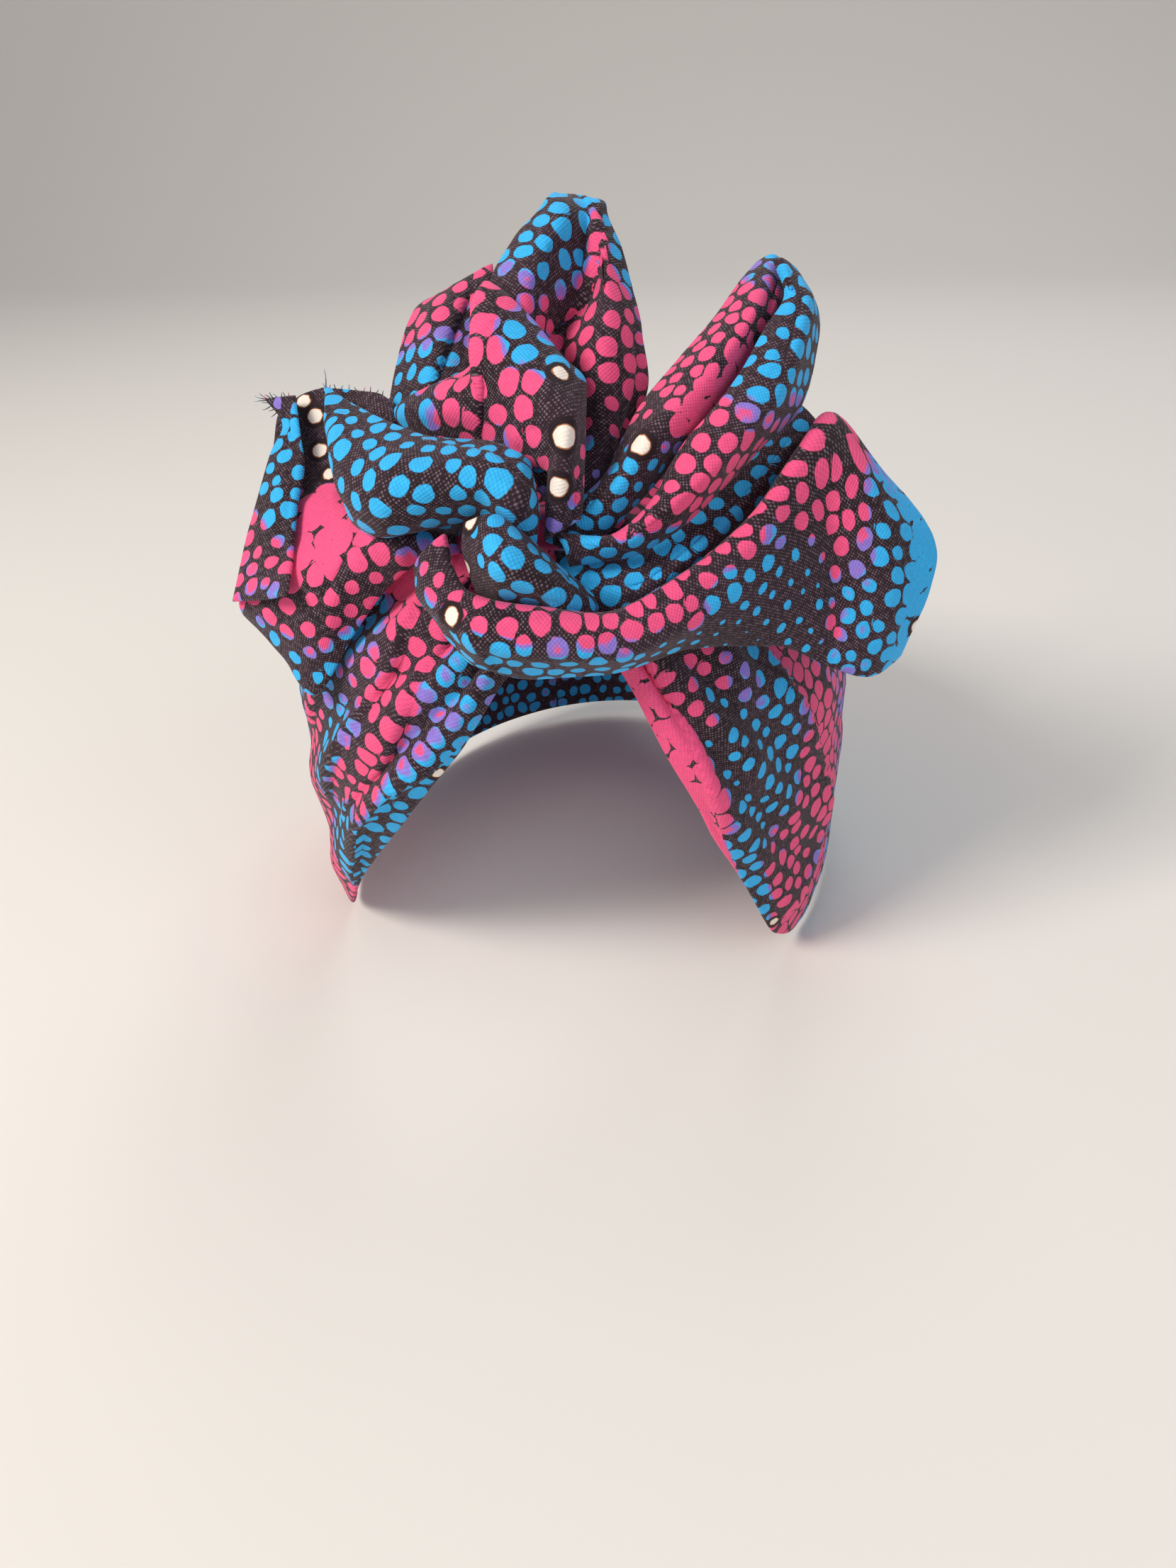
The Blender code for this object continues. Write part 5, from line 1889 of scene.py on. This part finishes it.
@dataclass
class Strip(Cloth):
    """One strip of the bow, lofted through its table of sections.

    Tuck is how far its edges bend back, and depth is how far behind the front it folds over, in
    mm. Returns to is where along the front a folded end comes back to. Below root, in shares
    of the length, the strip sinks onto the pile. Steps and narrow are in mm.
    """

    sections: list[Row]
    tuck: float
    fold: Fold = Fold.NONE
    depth: float = 0.0
    returns_to: float = 0.12
    pucker: float = 0.4
    step_along: float = 0.85
    step_across: float = 0.6
    least_steps: int = 24
    rough_steps: int = 30
    coarse_along: int = 14
    coarse_across: int = 8
    coarse_folded: int = 13
    root: float = 0.3
    narrow: float = 20.0
    tuck_power: int = 4
    pinch: float = 3.0
    tip_swell: float = math.radians(150.0)
    side_start: float = 0.45
    side_power: float = 0.7
    sink_step: float = 0.25
    spreads: int = 18
    lift: np.ndarray | None = None

    def fold_way(self, way: np.ndarray) -> tuple[np.ndarray, np.ndarray]:
        """Way over the fold of a strip that folds over.

        Args:
            way: shares of the way, the fold included.

        Returns:
            The places along the front, and how far behind it each lies, as a share.
        """
        table = np.array(FOLD_WAY)
        table[-1, 1] = self.returns_to
        return tuple(smooth_through(table[:, 0], table[:, 1:], way).T)

    def front(self, along: np.ndarray, across: np.ndarray) -> np.ndarray:
        """Front of the strip.

        Args:
            along: shares of its length.
            across: shares of its width.

        Returns:
            The grid of points in the bow's frame, in mm.
        """
        sections = np.array(self.sections, float)
        middle = sections.mean(axis=1)
        steps = np.linalg.norm(np.diff(middle, axis=0), axis=1)
        way = np.concatenate([[0.0], np.cumsum(steps)])
        stations = np.linspace(0.0, 1.0, sections.shape[1])
        lengthways = smooth_through(way / way[-1], sections, along)
        made = np.array([smooth_through(stations, section, across) for section in lengthways])
        width = np.linalg.norm(lengthways[:, -1] - lengthways[:, 0], axis=1)
        tuck = self.tuck * np.clip(along / self.root, 0.0, 1.0) * np.clip(width / self.narrow, 0.0, 1.0)
        made[:, :, 2] -= tuck[:, None] * np.abs(2 * across[None, :] - 1) ** self.tuck_power
        return made

    def surface(self, rows: np.ndarray, columns: np.ndarray) -> np.ndarray:
        """Middle surface in the bow's frame, before it is laid.

        Args:
            rows: shares of the way along, folds included.
            columns: shares of the way across, folds included.

        Returns:
            The grid of points, in mm.
        """
        along, across = rows, columns
        behind = np.zeros((1, 1))
        fullness = np.ones(1)
        if self.fold is Fold.TIP:
            along, way_behind = self.fold_way(rows)
            behind = way_behind[:, None]
            fullness = np.sin(self.tip_swell * along)
        if self.fold is Fold.SIDE:
            across, way_behind = self.fold_way(columns)
            behind = way_behind[None, :]
            opening = np.clip((along - self.side_start) / (1 - self.side_start), 0.0, 1.0)
            fullness = opening**self.side_power
        made = self.front(along, across)
        reach = self.pinch + (self.depth - self.pinch) * fullness
        if self.fold is Fold.SIDE:
            edges = self.front(along, np.array([0.0, 1.0]))
            straight = edges[:, :1] + (edges[:, 1:] - edges[:, :1]) * across[None, :, None]
            made += (straight - made) * behind[..., None]
        made[..., 2] -= behind * reach[:, None]
        return made

    def same_for_both(self, lift: np.ndarray, places: np.ndarray) -> np.ndarray:
        """Give the two layers of a folded strip the same lift at the same place.

        Args:
            lift: the lift, with the fold along its first axis, in mm.
            places: the place along the front of each row.

        Returns:
            The shared lift, in mm.
        """
        turn = (len(places) + 1) // 2
        shared = [
            np.maximum(
                np.interp(places, places[:turn], line[:turn]),
                np.interp(places, places[-turn:][::-1], line[-turn:][::-1]),
            )
            for line in lift.T
        ]
        return np.array(shared).T

    def spread(self, need: np.ndarray, rows: np.ndarray, columns: np.ndarray) -> np.ndarray:
        """Lift that is at least the need at each point and falls off smoothly round it.

        Args:
            need: the least lift at each point, in mm.
            rows: shares of the way along.
            columns: shares of the way across.

        Returns:
            The lift, in mm.
        """
        lift = need.copy()
        for _ in range(self.spreads):
            if self.fold is Fold.TIP:
                lift = self.same_for_both(lift, self.fold_way(rows)[0])
            if self.fold is Fold.SIDE:
                lift = self.same_for_both(lift.T, self.fold_way(columns)[0]).T
            padded = np.pad(lift, 1, mode="edge")
            around = padded[:-2, 1:-1] + padded[2:, 1:-1] + padded[1:-1, :-2] + padded[1:-1, 2:]
            lift = np.maximum(need, around / 4)
        return lift

    def lay(self, pile: Pile) -> None:
        """Lay the strip on the pile: its root sinks onto it and the rest clears it.

        Args:
            pile: the cloth laid so far, which the strip joins.
        """
        count = 2 * self.coarse_along if self.fold is Fold.TIP else self.coarse_along
        rows = np.linspace(0.0, 1.0, count + 1)
        count = self.coarse_folded if self.fold is Fold.SIDE else self.coarse_across
        columns = np.linspace(0.0, 1.0, count + 1)
        made = self.surface(rows, columns)
        start = made[..., 2].copy()
        from_root = np.minimum(rows, 1 - rows) * 2 if self.fold is Fold.TIP else rows
        sink = np.clip(1 - from_root / self.root, 0.0, 1.0)[:, None]
        need = pile.lifts(made)
        ends = [0, -1] if self.fold is Fold.TIP else [0]
        if need[sink[:, 0] > 0].max() <= 0:
            while pile.room_under(made[ends].reshape(-1, 3)) > pile.layer:
                made[..., 2] -= self.sink_step * sink
            need = pile.lifts(made)
        made[..., 2] += self.spread(need, rows, columns)
        self.lift = made[..., 2] - start
        pile.add(BOW.to_part(made))

    def build(self, rests_on: list[str]) -> bpy.types.Object:
        """Build the strip and dress it.

        Args:
            rests_on: the names of what it rests on.

        Returns:
            The finished strip.
        """
        even = np.linspace(0, 1, self.rough_steps)
        rough = BOW.to_part(self.surface(even, even))
        length = float(np.linalg.norm(np.diff(rough, axis=0), axis=2).sum(axis=0).mean())
        width = float(np.linalg.norm(np.diff(rough, axis=1), axis=2).sum(axis=1).mean())
        rows = fine_places(max(int(length / self.step_along), self.least_steps), length)
        columns = fine_places(max(int(width / self.step_across), self.least_steps), width)
        made = self.surface(rows, columns)
        if self.lift is not None:
            made[..., 2] += smooth_grid(self.lift, rows, columns)
        seed = float(len(self.name))
        sheet = self.cut(BOW.to_part(made), rows, columns, pucker=self.pucker, seed=seed)
        piece = sheet.build()
        self.dress(piece, sheet, rests_on)
        return piece


BAND = Band("head_band", turn=20.0, held=Held.STRETCHED)
STRIPS = [
    Strip("left_loop", LEFT_LOOP, 0.5, spacing=6.3),
    Strip("left_cuff", LEFT_CUFF, 1.5),
    Strip("back_petal", BACK_PETAL, 2.0),
    Strip("top_petal", TOP_PETAL, 1.0, Fold.TIP, 12.0, spacing=5.9),
    Strip("inner_fold", INNER_FOLD, 1.5),
    Strip("right_petal_front", RIGHT_PETAL_FRONT, 3.0, spacing=5.0),
    Strip("right_petal_rear", RIGHT_PETAL_REAR, 3.0, spacing=5.7),
    Strip("crook_fold", CROOK_FOLD, 2.0, spacing=6.6),
    Strip("upper_left_fold", UPPER_LEFT_FOLD, 3.0, Fold.SIDE, 6.0, 0.5, spacing=5.5),
    Strip("knot_roll", KNOT_ROLL, 4.0, spacing=5.5),
    Strip("front_sash", FRONT_SASH, 2.5, Fold.SIDE, 9.0, spacing=5.4),
]
# The flap isn't laid: it stands between the loop and the upper left fold
FLAP = Strip("raw_flap", RAW_FLAP, 0.0, spacing=4.6, part_of="upper_left_fold")

# The lamps: name, place and size in metres, power in watts, and tint
LAMPS = (
    ("key", (-0.8, -0.9, 1.0), 0.5, 19.5, "#fff6ea"),
    ("fill", (1.0, -0.7, 0.7), 1.0, 3.5, "#eef4ff"),
    ("back", (0.1, 0.9, 1.2), 1.0, 6.0, "#ffffff"),
)


@dataclass(frozen=True)
class Studio:
    """Pale floor with a swept back, soft lights and the camera. Its measures are in metres."""

    floor_height: float = -0.0665
    floor_near: float = -3.0
    floor_side: float = 3.5
    bend_start: float = 1.3
    bend_radius: float = 0.7
    bend_steps: int = 9
    wall_top: float = 3.0
    paper: str = "#e6e3df"
    paper_roughness: float = 0.9
    lamp_aim: Spot = (0.0, -0.04, 0.05)
    sky: str = "#e9e9ea"
    sky_strength: float = 0.40
    camera_place: Spot = (0.075504, -0.327191, 0.15768)
    camera_forward: Spot = (-0.19342, 0.83781, -0.51054)
    camera_right: Spot = (0.97882, 0.20038, -0.04200)
    lens_mm: float = 27.03
    sensor_mm: float = 36.0
    clip: tuple[float, float] = (0.01, 20.0)

    def camera(self) -> None:
        """The camera, at the photo's viewing angle."""
        forward = Vector(self.camera_forward).normalized()
        right = Vector(self.camera_right).normalized()
        up = right.cross(forward).normalized()
        right = forward.cross(up).normalized()
        data = bpy.data.cameras.new("camera")
        data.lens = self.lens_mm
        data.sensor_width = self.sensor_mm
        data.sensor_fit = "AUTO"
        data.clip_start, data.clip_end = self.clip
        camera = bpy.data.objects.new("camera", data)
        axes = Matrix((right, up, -forward)).transposed().to_4x4()
        camera.matrix_world = Matrix.Translation(Vector(self.camera_place)) @ axes
        bpy.context.scene.collection.objects.link(camera)
        bpy.context.scene.camera = camera

    def floor(self) -> None:
        """The floor, with a back that curves up far behind."""
        profile = [(self.floor_near, 0.0), (self.bend_start, 0.0)]
        for step in range(1, self.bend_steps + 1):
            turn = math.pi / 2 * step / self.bend_steps
            far = self.bend_start + self.bend_radius * math.sin(turn)
            profile.append((far, self.bend_radius * (1 - math.cos(turn))))
        profile.append((self.bend_start + self.bend_radius, self.wall_top))
        points = [
            (x, y, self.floor_height + z)
            for y, z in profile
            for x in (-self.floor_side, self.floor_side)
        ]
        faces = [(2 * i, 2 * i + 1, 2 * i + 3, 2 * i + 2) for i in range(len(profile) - 1)]
        mesh = bpy.data.meshes.new("floor")
        mesh.from_pydata(points, [], faces)
        mesh.shade_smooth()
        floor = bpy.data.objects.new("floor", mesh)
        bpy.context.scene.collection.objects.link(floor)
        # Matt paper: a pale, even ground without gloss, so that only soft shade falls on it
        surface = {"Base Color": linear(self.paper), "Roughness": self.paper_roughness}
        mesh.materials.append(node_material("matt_paper", (), surface))

    def light(self, name: str, place: Spot, size: float, power: float, tint: str) -> None:
        """A soft square lamp that faces the bow.

        Args:
            name: what it is called.
            place: where it stands.
            size: its width and height.
            power: in watts.
            tint: its colour.
        """
        data = bpy.data.lights.new(name, "AREA")
        data.shape = "SQUARE"
        data.size = size
        data.energy = power
        data.color = linear(tint)[:3]
        lamp = bpy.data.objects.new(name, data)
        lamp.location = place
        aim = Vector(self.lamp_aim) - Vector(place)
        lamp.rotation_euler = aim.to_track_quat("-Z", "Y").to_euler()
        bpy.context.scene.collection.objects.link(lamp)

    def build(self) -> None:
        """Everything round the part."""
        self.camera()
        self.floor()
        for lamp in LAMPS:
            self.light(*lamp)
        world = bpy.data.worlds.new("studio")
        world.use_nodes = True
        background = world.node_tree.nodes["Background"]
        background.inputs["Color"].default_value = linear(self.sky)
        background.inputs["Strength"].default_value = self.sky_strength
        bpy.context.scene.world = world
        bpy.context.scene.view_settings.view_transform = "Standard"


def main() -> None:
    """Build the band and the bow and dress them."""
    logging.basicConfig(level=logging.INFO, format="%(name)s %(message)s")
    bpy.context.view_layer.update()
    for chosen in bpy.context.selected_objects:
        chosen.select_set(False)
    Studio().build()
    pile = Pile()
    pile.add(HOLLOW.shell(BAND.clear), closed=True)
    BAND.lay(pile)
    under = BAND.build([])
    for strip in STRIPS:
        strip.lay(pile)
        strip.build([under.name])
    FLAP.build([under.name])


if __name__ == "__main__":
    main()
